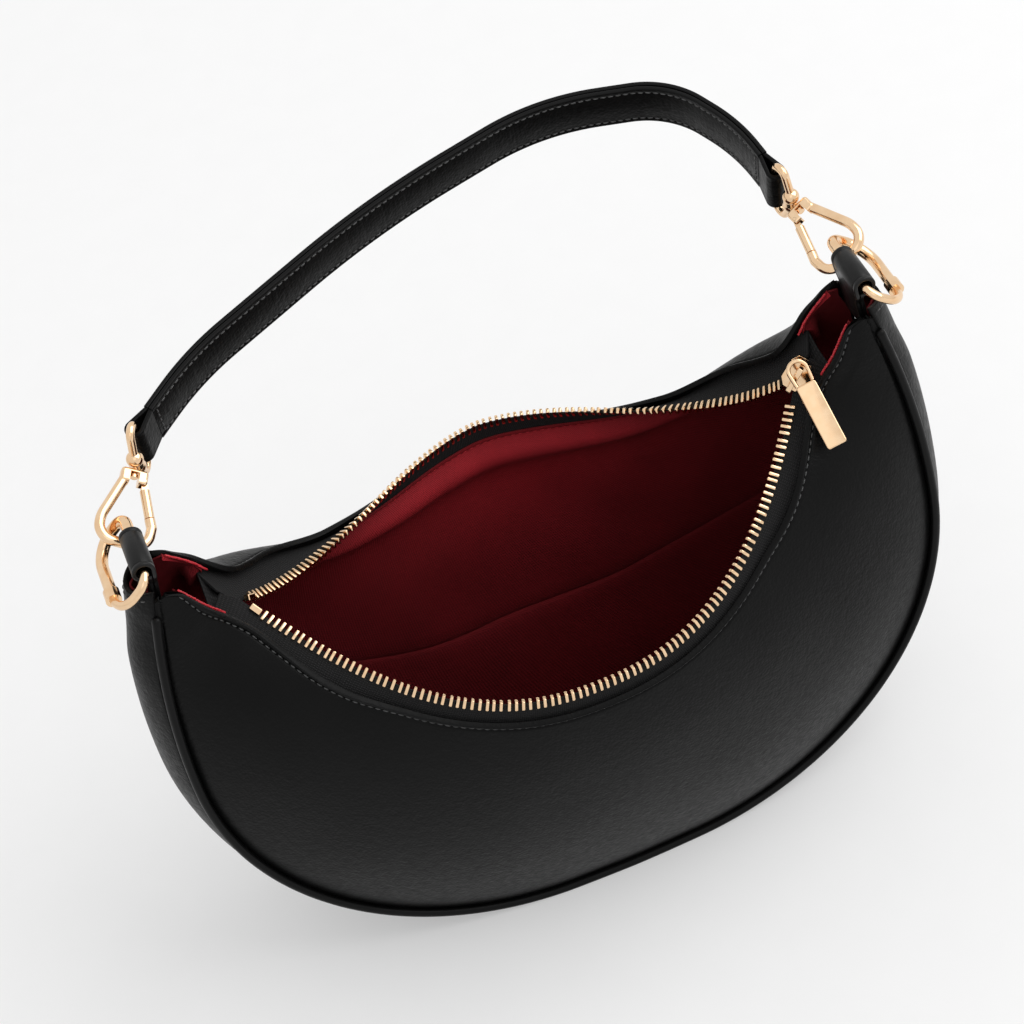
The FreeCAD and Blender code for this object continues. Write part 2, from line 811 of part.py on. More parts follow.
def turn_limits(points):
    radii = []
    for corner in range(1, len(points) - 1):
        here = Vec(points[corner][0], points[corner][1], 0)
        back = Vec(points[corner - 1][0], points[corner - 1][1], 0) - here
        ahead = Vec(points[corner + 1][0], points[corner + 1][1], 0) - here
        half = back.getAngle(ahead) / 2
        radii.append(turn_share * min(back.Length, ahead.Length) * math.tan(half))
    return radii


strap_turns = turn_limits(strap_line)


def plane_point(x, reach, lift):
    return Vec(x, pivot_y, pivot_z) + plane_back * reach + plane_up * lift


def shifted_line(offset, trim):
    # The strap's line moved sideways, with its ends cut back
    def heading(a, b):
        span = math.dist(a, b)
        return ((b[0] - a[0]) / span, (b[1] - a[1]) / span)
    ways = [heading(a, b) for a, b in zip(strap_line, strap_line[1:])]
    points = []
    radii = []
    for index, (x, r) in enumerate(strap_line):
        before = ways[max(index - 1, 0)]
        after = ways[min(index, len(ways) - 1)]
        mean = (-(before[1] + after[1]) / 2, (before[0] + after[0]) / 2)
        size = mean[0] ** 2 + mean[1] ** 2
        points.append((x + mean[0] / size * offset, r + mean[1] / size * offset))
        if 0 < index < len(strap_line) - 1:
            bend = before[0] * after[1] - before[1] * after[0]
            radii.append(strap_turns[index - 1] - math.copysign(offset, bend))
    first = ways[0]
    last = ways[-1]
    points[0] = (points[0][0] + first[0] * trim, points[0][1] + first[1] * trim)
    points[-1] = (points[-1][0] - last[0] * trim, points[-1][1] - last[1] * trim)
    places = [plane_point(x, r, -strap_width / 2) for x, r in points]
    return rounded_path(places, radii)


def strap_band(near, far, trim):
    one = shifted_line(near, trim)
    two = shifted_line(far, trim)
    starts = [wire.OrderedVertexes[0].Point for wire in (one, two)]
    ends = [wire.OrderedVertexes[-1].Point for wire in (one, two)]
    edges = one.Edges + two.Edges + [Part.makeLine(*starts), Part.makeLine(*ends)]
    face = Part.Face(Part.Wire(Part.__sortEdges__(edges)))
    return face.extrude(plane_up * strap_width)


wrap_bore = bail_radius + fit_gap
wrap_radius = wrap_bore + strap_layer
strap_half = strap_layer + strap_split / 2


def strap_wrap(side):
    # Teardrop loop round a bail bar, tapering into the strap's thickness
    x, reach = bar_place(side)
    near = strap_line[1] if side < 0 else strap_line[-2]
    span = math.dist((x, reach), near)
    way = Vec((near[0] - x) / span, 0, 0) + plane_back * ((near[1] - reach) / span)
    across = plane_up.cross(way)
    bar = plane_point(x, reach, -strap_width / 2)

    def teardrop(radius, half, length):
        lean = math.asin((radius - half) / length)
        rise = radius * math.cos(lean)
        touch = [bar + way * (radius * math.sin(lean)) + across * (s * rise) for s in (1, -1)]
        tips = [bar + way * length + across * (s * half) for s in (1, -1)]
        arc = Part.Arc(touch[0], bar - way * radius, touch[1]).toShape()
        sides = [Part.makeLine(tips[0], touch[0]), arc, Part.makeLine(touch[1], tips[1])]
        sides.append(Part.makeLine(tips[1], tips[0]))
        return Part.Face(Part.Wire(sides)).extrude(plane_up * strap_width)
    outer = teardrop(wrap_radius, strap_half, strap_taper)
    return outer.cut(teardrop(wrap_bore, strap_split / 2, strap_taper * wrap_hollow))


def strap_outer():
    band = strap_band(strap_split / 2, strap_half, strap_taper - band_lap)
    return band.fuse([strap_wrap(-1), strap_wrap(1)]).removeSplitter()


def strap_inner():
    return strap_band(-strap_half, -strap_split / 2, strap_lap)


for face, name in ((-1, "front"), (1, "back")):
    save(panel(face), name + "_panel")
    save(lining(face), name + "_lining")
    save(piping(face), name + "_piping")
    save(tape(face), name + "_zip_tape")
    save(teeth(face), name + "_zip_teeth")
save(strip(strip_end, strip_trim, 0.0, leather), "gusset")
lining_trim = strip_trim + leather + lining_depth
save(strip(lining_end, lining_trim, leather + layer_gap, lining_cloth), "gusset_lining")
save(end_stops(), "zip_end_stops")
save(slider_body(), "slider_body")
save(slider_crown(), "slider_crown")
save(pull_loop(), "pull_loop")
save(pull_plate(), "pull_plate")
for side, name in ((-1, "left"), (1, "right")):
    save(tab(side), name + "_loop_tab")
    save(ring(side), name + "_ring")
    save(ring_collar(side), name + "_ring_collar")
    save(hook(side), name + "_hook")
    save(gate(side), name + "_gate")
    save(gate_pin(side, gate_pin_radius), name + "_gate_pin")
    save(swivel(side), name + "_swivel")
    save(bail(side), name + "_bail")
save(strap_outer(), "strap_outer")
save(strap_inner(), "strap_inner")
print("loop axis", loop_axis(1), "pivot", pivot_y, pivot_z)
print("strap radii", [round(r) for r in strap_turns])
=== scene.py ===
from bisect import bisect_left
import bmesh
import bpy
from math import acos, asin, copysign, cos, dist, exp, pi, radians, sin, sqrt, tan
from mathutils import Matrix, Vector, noise


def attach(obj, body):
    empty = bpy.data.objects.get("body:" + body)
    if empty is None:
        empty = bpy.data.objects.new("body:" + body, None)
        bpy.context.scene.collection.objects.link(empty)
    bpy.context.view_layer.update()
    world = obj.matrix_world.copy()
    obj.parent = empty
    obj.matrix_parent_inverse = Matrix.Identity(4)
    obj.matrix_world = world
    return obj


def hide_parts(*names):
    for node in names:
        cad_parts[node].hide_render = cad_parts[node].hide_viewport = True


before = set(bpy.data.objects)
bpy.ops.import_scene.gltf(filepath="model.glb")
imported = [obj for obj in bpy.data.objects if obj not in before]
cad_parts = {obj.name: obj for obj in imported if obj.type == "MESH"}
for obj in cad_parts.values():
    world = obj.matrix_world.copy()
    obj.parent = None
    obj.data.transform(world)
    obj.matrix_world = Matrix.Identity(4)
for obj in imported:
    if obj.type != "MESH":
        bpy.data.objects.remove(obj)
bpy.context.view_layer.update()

mm = 0.001  # sizes below are millimetres, Blender works in metres
faces = ((-1, "front"), (1, "back"))
ends = ((-1, "left"), (1, "right"))


# small tools used by every piece

def clearSelection():
    if bpy.context.mode != "OBJECT":
        bpy.ops.object.mode_set(mode="OBJECT")
    bpy.ops.object.select_all(action="DESELECT")


def makeActive(obj):
    clearSelection()
    obj.select_set(True)
    bpy.context.view_layer.objects.active = obj


def editWhole(obj, *steps):
    makeActive(obj)
    bpy.ops.object.mode_set(mode="EDIT")
    bpy.ops.mesh.select_all(action="SELECT")
    for step in steps:
        step()
    bpy.ops.object.mode_set(mode="OBJECT")


def addObject(operator, **settings):
    clearSelection()
    operator(**settings)
    return bpy.context.object


def shapeGrid(name, columns, rows, place, size, outward=None):
    # a flat grid, each vertex moved to its place, with a UV map in metres
    obj = addObject(bpy.ops.mesh.primitive_grid_add, x_subdivisions=columns, y_subdivisions=rows, size=1.0)
    obj.name = name
    obj.data.name = name
    for vert in obj.data.vertices:
        column = round((vert.co.x + 0.5) * columns)
        row = round((vert.co.y + 0.5) * rows)
        vert.co = place(column, row) * mm
    for corner in obj.data.uv_layers.active.data:
        corner.uv = (corner.uv.x * size[0] * mm, corner.uv.y * size[1] * mm)
    obj.data.update()
    middle = obj.data.polygons[(rows // 2) * columns + columns // 2]
    if outward is not None and middle.normal.dot(outward) < 0:
        editWhole(obj, bpy.ops.mesh.flip_normals)
    return obj


def closeForm(obj):
    # a grid rolled into a closed form: weld its seam and poles, faces outward
    editWhole(obj, lambda: bpy.ops.mesh.remove_doubles(threshold=0.01 * mm),
              lambda: bpy.ops.mesh.normals_make_consistent(inside=False))
    return obj


def roundEdges(obj, width, angle):
    soft = obj.modifiers.new("edgeRound", "BEVEL")
    soft.width = width * mm
    soft.segments = 3
    soft.limit_method = "ANGLE"
    soft.angle_limit = radians(angle)


def applyAll(obj):
    makeActive(obj)
    for mod in list(obj.modifiers):
        bpy.ops.object.modifier_apply(modifier=mod.name)
    return obj


def thicken(obj, thickness, offset=-1.0, edgeRound=0.0, even=True):
    wall = obj.modifiers.new("wall", "SOLIDIFY")
    wall.thickness = thickness * mm
    wall.offset = offset
    wall.use_even_offset = even
    if edgeRound:
        roundEdges(obj, edgeRound, angle=60)
    return applyAll(obj)


def finishPiece(obj, finish, slot, *nodes, body="bag"):
    obj.data.materials.clear()
    for material in (finish if isinstance(finish, list) else [finish]):
        obj.data.materials.append(material)
    makeActive(obj)
    bpy.ops.object.shade_smooth_by_angle(angle=radians(40))
    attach(obj, body)
    if nodes:
        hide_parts(*nodes)


def makePair(make, name, finish, slot, node, sides=faces):
    # a piece on the front and one on the back, or one at each end
    for way, side in sides:
        finishPiece(make(side + name, way), finish, slot, side + node)


def smooth(value, low, high):
    # eased share of the way from low to high
    share = min(max((value - low) / (high - low), 0.0), 1.0)
    return share * share * (3 - 2 * share)


def bump(x, middle, width):
    return exp(-((x - middle) / width) ** 2)


def spread(limit, steps):
    # even stations from one end to the other
    return [limit * (2 * step / steps - 1) for step in range(steps + 1)]


def runLengths(points):
    lengths = [0.0]
    for a, b in zip(points, points[1:]):
        lengths.append(lengths[-1] + (b - a).length)
    return lengths


def findStretch(lengths, goal):
    # which stretch of a line holds a distance along it, and where in it
    index = min(max(bisect_left(lengths, goal), 1), len(lengths) - 1)
    span = lengths[index] - lengths[index - 1]
    return index, (goal - lengths[index - 1]) / span if span else 0.0


def standAt(point, along, across, up):
    turn = Matrix((along, across, up)).transposed().to_4x4()
    return Matrix.Translation(point * mm) @ turn @ Matrix.Scale(mm, 4)


def copyForm(name, form, places):
    # one modelled form, copied to every place in one mesh
    copies = bmesh.new()
    for place in places:
        copy = form.data.copy()
        copy.transform(place)
        copies.from_mesh(copy)
        bpy.data.meshes.remove(copy)
    mesh = bpy.data.meshes.new(name)
    copies.to_mesh(mesh)
    copies.free()
    obj = bpy.data.objects.new(name, mesh)
    bpy.context.scene.collection.objects.link(obj)
    return obj


# materials

def hexColour(code):
    parts = [int(code[place:place + 2], 16) / 255 for place in (1, 3, 5)]
    linear = [c / 12.92 if c <= 0.04045 else ((c + 0.055) / 1.055) ** 2.4 for c in parts]
    return (*linear, 1.0)


def setInputs(tree, node, inputs):
    # an input takes a value, a socket or the first output of another node
    for name, value in inputs.items():
        if isinstance(value, bpy.types.Node):
            value = value.outputs[0]
        if isinstance(value, bpy.types.NodeSocket):
            tree.links.new(value, node.inputs[name])
        else:
            node.inputs[name].default_value = value


def addNode(tree, kind, inputs=None, stops=(), **settings):
    node = tree.nodes.new("ShaderNode" + kind)
    for name, value in settings.items():
        setattr(node, name, value)
    setInputs(tree, node, inputs or {})
    for number, (place, code) in enumerate(stops):
        node.color_ramp.elements[number].color = hexColour(code)
        node.color_ramp.elements[number].position = place
    return node


def newMaterial(name):
    material = bpy.data.materials.new(name)
    material.use_nodes = True
    tree = material.node_tree
    return material, tree, tree.nodes["Principled BSDF"], addNode(tree, "TexCoord").outputs


def cells(place, size, detail):
    # inputs of a pattern whose cells have this size
    return {"Vector": place, "Scale": 1 / (size * mm), "Detail": detail}


def waves(place, pitch):
    # inputs of a wave with this distance from band to band
    return {"Vector": place, "Scale": pi / (10 * pitch * mm)}


def mapInputs(value, source, target):
    return {"Value": value, "From Min": source[0], "From Max": source[1], "To Min": target[0], "To Max": target[1]}


calf = {
    "cloud": 45.0, "pores": 1.1, "skin": 2.6, "creases": (1.6, 11.0),  # sizes of the pattern
    "poreDepth": 0.2, "skinDepth": 0.4, "creaseDepth": 0.3,
    "cloudSpan": (0.3, 0.75), "skinSpan": (0.3, 0.7), "smoother": 0.05, "rougher": 0.07,
}


def makeCalf(name, dark, light, rough, grain, shine):
    # drum-dyed calf with a rolled, satin finish: soft wide highlights over a fine pebble of pores
    material, tree, shader, coords = newMaterial(name)
    place = coords["Object"]
    cloud = addNode(tree, "TexNoise", cells(place, calf["cloud"], detail=3))
    pores = addNode(tree, "TexVoronoi", cells(place, calf["pores"], detail=0))
    skin = addNode(tree, "TexNoise", cells(place, calf["skin"], detail=4))
    # faint creases that run across the strip, from the way the hide is pulled over its edge
    narrow, long = calf["creases"]
    pull = addNode(tree, "Mapping", {"Vector": coords["UV"], "Scale": (1 / (narrow * mm), 1 / (long * mm), 1.0)})
    creases = addNode(tree, "TexNoise", {"Vector": pull, "Scale": 1.0, "Detail": 2.0})
    relief = None
    for height, depth in ((pores, "poreDepth"), (skin, "skinDepth"), (creases, "creaseDepth")):
        below = {"Normal": relief} if relief else {}
        relief = addNode(tree, "Bump", {"Height": height, "Strength": grain, "Distance": calf[depth] * mm, **below})
    gloss = (rough - calf["smoother"], rough + calf["rougher"])
    setInputs(tree, shader, {
        "Base Color": addNode(tree, "ValToRGB", {"Fac": cloud}, zip(calf["cloudSpan"], (dark, light))),
        "Roughness": addNode(tree, "MapRange", mapInputs(skin, calf["skinSpan"], gloss)),
        "Normal": relief, "IOR": 1.45, "Specular IOR Level": shine})
    return material


twill = {
    "tones": ("#670b13", "#9c1823"), "toneSpan": (0.1, 1.0),
    "ribPitch": 1.1, "yarnPitch": 0.88, "slant": 35.0, "yarnShare": 0.3, "cloud": 20.0, "cloudShare": 0.5,
    # the last three keys set the painted shade: how far the ambient occlusion looks, and how much it darkens the base
    # colour
    "relief": 0.3, "paintedShadeReach": 130.0, "paintedShadeSpan": (0.25, 0.9), "paintedShadeLevels": (0.3, 1.0),
}


def makeTwill(name):
    # cotton twill: slanted ribs of crimson yarn with a dry sheen, and painted shade in its folds and corners
    material, tree, shader, coords = newMaterial(name)
    uv = coords["UV"]
    slant = addNode(tree, "Mapping", {"Vector": uv, "Rotation": (0, 0, radians(twill["slant"]))})
    ribs = addNode(tree, "TexWave", {**waves(slant, twill["ribPitch"]), "Distortion": 0.6, "Detail": 1.0,
                   "Detail Scale": 2.0}, wave_profile="SIN")
    yarn = addNode(tree, "TexWave", waves(uv, twill["yarnPitch"]), bands_direction="Y")
    cloud = addNode(tree, "TexNoise", cells(uv, twill["cloud"], detail=3))
    weave = addNode(tree, "Mix", {0: twill["yarnShare"], 2: ribs.outputs["Fac"], 3: yarn.outputs["Fac"]},
                    data_type="FLOAT")
    tone = addNode(tree, "Math", {0: cloud, 1: twill["cloudShare"], 2: weave}, operation="MULTIPLY_ADD")
    dye = addNode(tree, "ValToRGB", {"Fac": tone}, zip(twill["toneSpan"], twill["tones"]))
    # painted shade: ambient occlusion darkens the base colour in folds and corners, to match the dark inside of the
    # bag
    paintedShadeOcclusion = addNode(tree, "AmbientOcclusion", {"Distance": twill["paintedShadeReach"] * mm}, samples=6)
    shade = addNode(tree, "MapRange", mapInputs(paintedShadeOcclusion.outputs["AO"], twill["paintedShadeSpan"], twill["paintedShadeLevels"]))
    relief = addNode(tree, "Bump", {"Height": weave, "Strength": 0.5, "Distance": twill["relief"] * mm})
    # base colour is the dyed yarn scaled down by the painted shade
    setInputs(tree, shader, {
        "Base Color": addNode(tree, "VectorMath", {0: dye, "Scale": shade}, operation="SCALE"), "Normal": relief,
        "Roughness": 0.8, "Specular IOR Level": 0.25, "Sheen Weight": 0.12, "Sheen Roughness": 0.4,
        "Sheen Tint": hexColour(twill["tones"][1])})
    return material


zipWeave = {"tones": ("#0a0a0a", "#222122"), "warpPitch": 0.9, "weftPitch": 0.7, "relief": 0.3}


def makeZipTape(name):
    # woven polyester tape: tight zigzag threads, matt black
    material, tree, shader, coords = newMaterial(name)
    uv = coords["UV"]
    warp = addNode(tree, "TexWave", waves(uv, zipWeave["warpPitch"]), wave_type="BANDS")
    weft = addNode(tree, "TexWave", {**waves(uv, zipWeave["weftPitch"]), "Distortion": 3.0, "Detail": 0.0,
                   "Detail Scale": 1.0}, bands_direction="Y")
    weave = addNode(tree, "Math", {0: warp.outputs["Fac"], 1: weft.outputs["Fac"]}, operation="MULTIPLY")
    setInputs(tree, shader, {
        "Base Color": addNode(tree, "ValToRGB", {"Fac": weave}, enumerate(zipWeave["tones"])),
        "Normal": addNode(tree, "Bump", {"Height": weave, "Strength": 0.6, "Distance": zipWeave["relief"] * mm}),
        "Roughness": 0.85, "Specular IOR Level": 0.3})
    return material


plating = {"tones": ("#e9c39a", "#f2d3ae"), "toneSpan": (0.25, 0.75), "haze": 4.0, "hazeSpan": (0.3, 0.7),
           "roughSpan": (0.1, 0.18)}


def makeGold(name):
    # zinc alloy with a polished pale rose-gold plating: clear reflections, faint polishing haze
    material, tree, shader, coords = newMaterial(name)
    haze = addNode(tree, "TexNoise", cells(coords["Object"], plating["haze"], detail=4))
    tones = zip(plating["toneSpan"], plating["tones"])
    setInputs(tree, shader, {
        "Base Color": addNode(tree, "ValToRGB", {"Fac": haze}, tones), "Metallic": 1.0,
        "Roughness": addNode(tree, "MapRange", mapInputs(haze, plating["hazeSpan"], plating["roughSpan"]))})
    return material


def makeThread(name, *tones):
    # bonded nylon thread: a slight twist and a soft shine
    material, tree, shader, coords = newMaterial(name)
    twist = addNode(tree, "TexWave", waves(coords["Object"], pitch=0.5), bands_direction="DIAGONAL")
    dye = addNode(tree, "ValToRGB", {"Fac": twist.outputs["Fac"]}, enumerate(tones))
    setInputs(tree, shader, {"Base Color": dye, "Roughness": 0.5})
    return material


blackCalf = makeCalf("blackCalf", "#080808", "#0e0e0e", rough=0.38, grain=0.38, shine=0.11)
rolledCalf = makeCalf("rolledCalf", "#0a0a0a", "#121212", rough=0.36, grain=0.1, shine=0.3)
edgePaint = makeCalf("edgePaint", "#090909", "#0e0e0e", rough=0.34, grain=0.05, shine=0.14)
crimsonTwill = makeTwill("crimsonTwill")
wovenTape = makeZipTape("wovenTape")
paleGold = makeGold("paleGold")
blackThread = makeThread("blackThread", "#303030", "#565656")
redThread = makeThread("redThread", "#9c1420", "#c9222f")
print("materials made")


# form of the bag, with the same sizes as its solids
# station u: -1 at the left horn, 0 under the bag, 1 at the right horn
# share t: 0 at the seam with the gusset, 1 at the row of teeth

bag = {
    "flat": 25.0, "halfWidth": 142.4, "widestHeight": 118.0, "hornHalfWidth": 129.0, "hornHeight": 209.0,
    "baseHalfDepth": 37.0, "hornHalfDepth": 10.5, "depthShape": 1.5, "sideSwell": 7.0, "swellRise": 0.4,
    "panelSwell": 18.0, "seamInset": 3.6, "pipingInset": 1.8, "edgeStep": 0.004, "wallStep": 0.01,
    "zipHalfLength": 103.0, "zipHeight": 177.0, "rowHalfGap": 2.4, "zipEnd": 0.86,
    "tapeShow": 5.5, "tapeNarrow": 0.7, "tapeNarrowZone": (0.6, 0.85), "tapeEndZone": (0.86, 1.0),
    "rimSpread": 6.0, "rimLift": 3.0, "rimSoft": 0.035, "rimZone": (0.5, 0.75), "rimEndZone": (0.9, 1.0),
    "shoulderOut": 18.0, "shoulderUp": 35.0, "shoulderAt": 0.6, "shoulderIn": 0.25, "shoulderOutward": 0.34,
    "shoulderEndZone": (0.85, 0.955), "frontShoulder": 0.1,
}
zipRows = {-1: {"reach": 60.0, "drop": 43.0, "reachShape": 2.3, "dropShape": 2.3},
           1: {"reach": 62.0, "drop": 27.0, "reachShape": 1.6, "dropShape": 4.6}}


def traceOutline():
    flat, half = bag["flat"], bag["halfWidth"]
    widest, horn = bag["widestHeight"], bag["hornHeight"]
    curveSteps, sideSteps = 60, 30
    points = [(0.0, 0.0)]
    for step in range(curveSteps + 1):
        angle = pi / 2 * step / curveSteps
        points.append((flat + (half - flat) * sin(angle), widest * (1 - cos(angle))))
    for step in range(1, sideSteps + 1):
        rise = step / sideSteps
        points.append((half - (half - bag["hornHalfWidth"]) * rise ** 2, widest + (horn - widest) * rise))
    return points


outline = traceOutline()
outlineArc = [0.0]
for low, high in zip(outline, outline[1:]):
    outlineArc.append(outlineArc[-1] + dist(low, high))
flatStation = bag["flat"] / outlineArc[-1]


def outlineAt(station):
    index, share = findStretch(outlineArc, min(max(station, 0.0), 1.0) * outlineArc[-1])
    return Vector(outline[index - 1]).lerp(Vector(outline[index]), share)


def edgePoint(u, inset, y):
    side = 1 if u >= 0 else -1
    here = outlineAt(abs(u))
    run = (outlineAt(abs(u) + bag["edgeStep"]) - outlineAt(abs(u) - bag["edgeStep"])).normalized()
    outX, outZ = (run.y, -run.x) if abs(u) > flatStation else (0.0, -1.0)
    return Vector((side * (here.x - inset * outX), y, here.y - inset * outZ))


def halfDepth(u):
    horn = bag["hornHalfDepth"]
    return horn + (bag["baseHalfDepth"] - horn) * (1 - abs(u) ** bag["depthShape"])


def rowPoint(u, face):
    side = 1 if u >= 0 else -1
    share = abs(u) / bag["zipEnd"]
    if share <= 1:
        row = zipRows[face]
        reach = row["reach"] * (1 - share ** row["reachShape"])
        drop = row["drop"] * (1 - share ** row["dropShape"])
        return Vector((side * share * bag["zipHalfLength"], face * (bag["rowHalfGap"] + reach),
                       bag["zipHeight"] - drop))
    beyond = (abs(u) - bag["zipEnd"]) / (1 - bag["zipEnd"])
    horn = edgePoint(side, bag["seamInset"], face * bag["hornHalfDepth"])
    end = Vector((side * bag["zipHalfLength"], face * bag["rowHalfGap"], bag["zipHeight"]))
    return end.lerp(horn, beyond)


def wallRow(u, face):
    # the leather's edge keeps clear of the teeth near the zip's ends and turns softly up to the horn
    steps = [rowPoint(u + bag["rimSoft"] * step / 3, face) for step in range(-3, 4)]
    clear = smooth(abs(u), *bag["rimZone"]) * (1 - smooth(abs(u), *bag["rimEndZone"]))
    lift = bag["rimLift"] if face > 0 else 0.0
    return sum(steps, Vector()) / len(steps) + Vector((0, face * bag["rimSpread"], lift)) * clear


def wallCurve(u, face):
    seam = edgePoint(u, bag["seamInset"], face * halfDepth(u))
    row = wallRow(u, face)
    control = (seam + row) / 2 + Vector((0, face * bag["panelSwell"] * (1 - u * u), 0))
    # the back is pushed up into a soft shoulder on both sides of the mouth, the front only slightly
    width = bag["shoulderIn"] if abs(u) < bag["shoulderAt"] else bag["shoulderOutward"]
    shoulder = bump(abs(u), bag["shoulderAt"], width) * (1 - smooth(abs(u), *bag["shoulderEndZone"]))
    shoulder *= 1.0 if face > 0 else bag["frontShoulder"]
    control += Vector((0, face * bag["shoulderOut"], bag["shoulderUp"])) * shoulder
    return seam, control, row


def wallPoint(u, t, face):
    seam, control, row = wallCurve(u, face)
    return seam * (1 - t) ** 2 + control * (2 * t * (1 - t)) + row * t ** 2


def wallIn(u, t, face):
    # from the wall's surface towards the inside of the bag
    step = bag["wallStep"]
    along = wallPoint(u + step, t, face) - wallPoint(u - step, t, face)
    up = wallPoint(u, t + step, face) - wallPoint(u, t - step, face)
    return along.cross(up).normalized() * face


def rimShare(u, face, setback):
    seam, control, row = wallCurve(u, face)
    return 1 - setback / (2 * (row - control).length)


def rimSetback(u):
    narrow = 1 - bag["tapeNarrow"] * smooth(abs(u), *bag["tapeNarrowZone"])
    return bag["tapeShow"] * narrow * (1 - smooth(abs(u), *bag["tapeEndZone"]))


# leather front and back, turned over at the mouth and stitched

hide = {
    "end": 0.978, "columns": 210, "crowding": 0.35, "thickness": 1.6, "edgeRound": 0.6,
    "rimRows": [0.0, 0.35, 0.8, 1.3, 1.8, 2.2, 2.5, 2.8, 3.1, 3.5, 4.1, 5.2, 7.0, 9.5],  # below the turned edge
    "bodyRows": 22, "tuck": 0.014, "rimOfWall": 0.5,
    "hornReach": 3.2, "hornZone": (0.938, 0.962), "cornerStart": 0.955, "cornerDrop": 3.4, "cornerShape": 2.5,
    "roll": 1.0, "rollAt": 1.3, "rollWidth": 0.9, "groove": 0.6, "grooveAt": 2.8, "grooveWidth": 0.42,
    "lipFall": 0.6, "lipWidth": 0.5, "pullDent": 0.4, "pullAt": 0.88, "pullWidth": 0.03,
    "softness": 0.9, "fineShare": 0.4, "seamDip": 0.7, "seamDipWidth": 0.03,
}


def rimScale(u, face):
    # the wall gets low towards the horns, so the turned edge narrows with it
    seam, control, row = wallCurve(u, face)
    return min(1.0, hide["rimOfWall"] * (row - seam).length / hide["rimRows"][-1])


def leatherPlace(u, row, face):
    rim = hide["rimRows"]
    scale = rimScale(u, face)
    drop = rim[min(row, len(rim) - 1)] * scale
    corner = max(0.0, (abs(u) - hide["cornerStart"]) / (hide["end"] - hide["cornerStart"]))
    drop += hide["cornerDrop"] * corner ** hide["cornerShape"]
    t = rimShare(u, face, rimSetback(u) + drop)
    rise = 0.0
    if row < len(rim):
        depth = rim[row]
        rise = hide["roll"] * bump(depth, hide["rollAt"], hide["rollWidth"])
        rise -= hide["groove"] * bump(depth, hide["grooveAt"], hide["grooveWidth"])
        rise = (rise - hide["lipFall"] * bump(depth, 0.0, hide["lipWidth"])) * scale
        if face < 0:  # room for the pull
            rise -= hide["pullDent"] * bump(u, hide["pullAt"], hide["pullWidth"])
    else:
        seam, control, top = wallCurve(u, face)
        reach = hide["hornReach"] * smooth(abs(u), *hide["hornZone"])  # to the gusset above the piping's end
        tuck = hide["tuck"] + reach / (2 * (control - seam).length)
        t -= (t + tuck) * (row - len(rim) + 1) / hide["bodyRows"]
    soft = noise.noise((u * 2.6, t * 1.7, 3.1 * face))  # slow swells, then smaller ones
    soft += hide["fineShare"] * noise.noise((u * 7, t * 3, 9.0))
    rise += hide["softness"] * soft * sin(pi * min(max(t, 0), 1)) * (1 - u ** 4)
    rise -= hide["seamDip"] * bump(t, 0.0, hide["seamDipWidth"])
    return wallPoint(u, t, face) - wallIn(u, t, face) * rise


def makeLeather(name, face):
    columns = hide["columns"]
    rows = len(hide["rimRows"]) - 1 + hide["bodyRows"]

    def place(column, row):
        # columns stand closer towards the horns
        share = 2 * column / columns - 1
        share = (1 + hide["crowding"]) * share - hide["crowding"] * share ** 3
        return leatherPlace(hide["end"] * share, row, face)
    obj = shapeGrid(name, columns, rows, place, (560.0, 150.0), Vector((0, face, 0)))
    return thicken(obj, hide["thickness"], edgeRound=hide["edgeRound"], even=False)


makePair(makeLeather, "Leather", blackCalf, "black_leather", "_panel")
print("leather panels made")


# stitches: one thread bead, copied along a sewn line

stitch = {"length": 2.05, "pitch": 2.7, "radius": 0.36, "sink": 0.02, "rimEnd": 0.964}
stitchBead = addObject(bpy.ops.mesh.primitive_uv_sphere_add, segments=8, ring_count=5, radius=1.0)
beadSize = (stitch["length"] / 2, stitch["radius"], stitch["radius"])
editWhole(stitchBead, lambda: bpy.ops.transform.rotate(value=pi / 2, orient_axis="Y", center_override=(0, 0, 0)),
          lambda: bpy.ops.transform.resize(value=beadSize))


def walkLine(line, pitch):
    # even places along a line of (point, normal) pairs
    line = list(line)
    lengths = runLengths([point for point, normal in line])
    count = max(2, round(lengths[-1] / pitch))
    for number in range(count):
        index, share = findStretch(lengths, lengths[-1] * (number + 0.5) / count)
        (start, lean), (end, nextLean) = line[index - 1:index + 1]
        along = (end - start).normalized()
        normal = lean.lerp(nextLean, share)
        normal = (normal - along * normal.dot(along)).normalized()
        point = start.lerp(end, share) - normal * stitch["sink"]
        yield standAt(point, along, normal.cross(along), normal)


def sewRows(name, lines, colour, slot, body="bag"):
    places = [place for line in lines for place in walkLine(line, stitch["pitch"])]
    finishPiece(copyForm(name, stitchBead, places), colour, slot, body=body)


def rimLine(face):
    row = hide["rimRows"].index(hide["grooveAt"])
    for u in spread(stitch["rimEnd"], steps=300):
        t = rimShare(u, face, rimSetback(u) + hide["grooveAt"] * rimScale(u, face))
        yield leatherPlace(u, row, face), -wallIn(u, t, face)


for face, side in faces:
    sewRows(side + "RimStitches", [rimLine(face)], blackThread, "black_leather")
print("rim stitches made")


# gusset round the base and sides, and the piping in its seams

gusset = {"end": 0.99, "lip": 0.017, "columns": 200, "rows": 20, "trim": 1.3, "thickness": 1.6, "edgeRound": 0.5,
          "seamBelow": 0.0095, "seamAcross": 0.85,
          "hornLap": 1.6, "hornZone": (0.93, 0.96), "ringRoom": 1.1, "ringZone": (0.86, 0.92),
          "hookRoom": 0.0045, "hookZone": (0.4, 0.9)}


def gussetPlace(u, across, inset, trim):
    half = halfDepth(u) - trim + gusset["hornLap"] * smooth(abs(u), *gusset["hornZone"])
    inset += gusset["ringRoom"] * smooth(abs(u), *gusset["ringZone"])  # clear of the ring's collar
    swell = bag["sideSwell"] * smooth(abs(u), flatStation, flatStation + bag["swellRise"])
    return edgePoint(u, inset - swell * (1 - across ** 2), half * across)


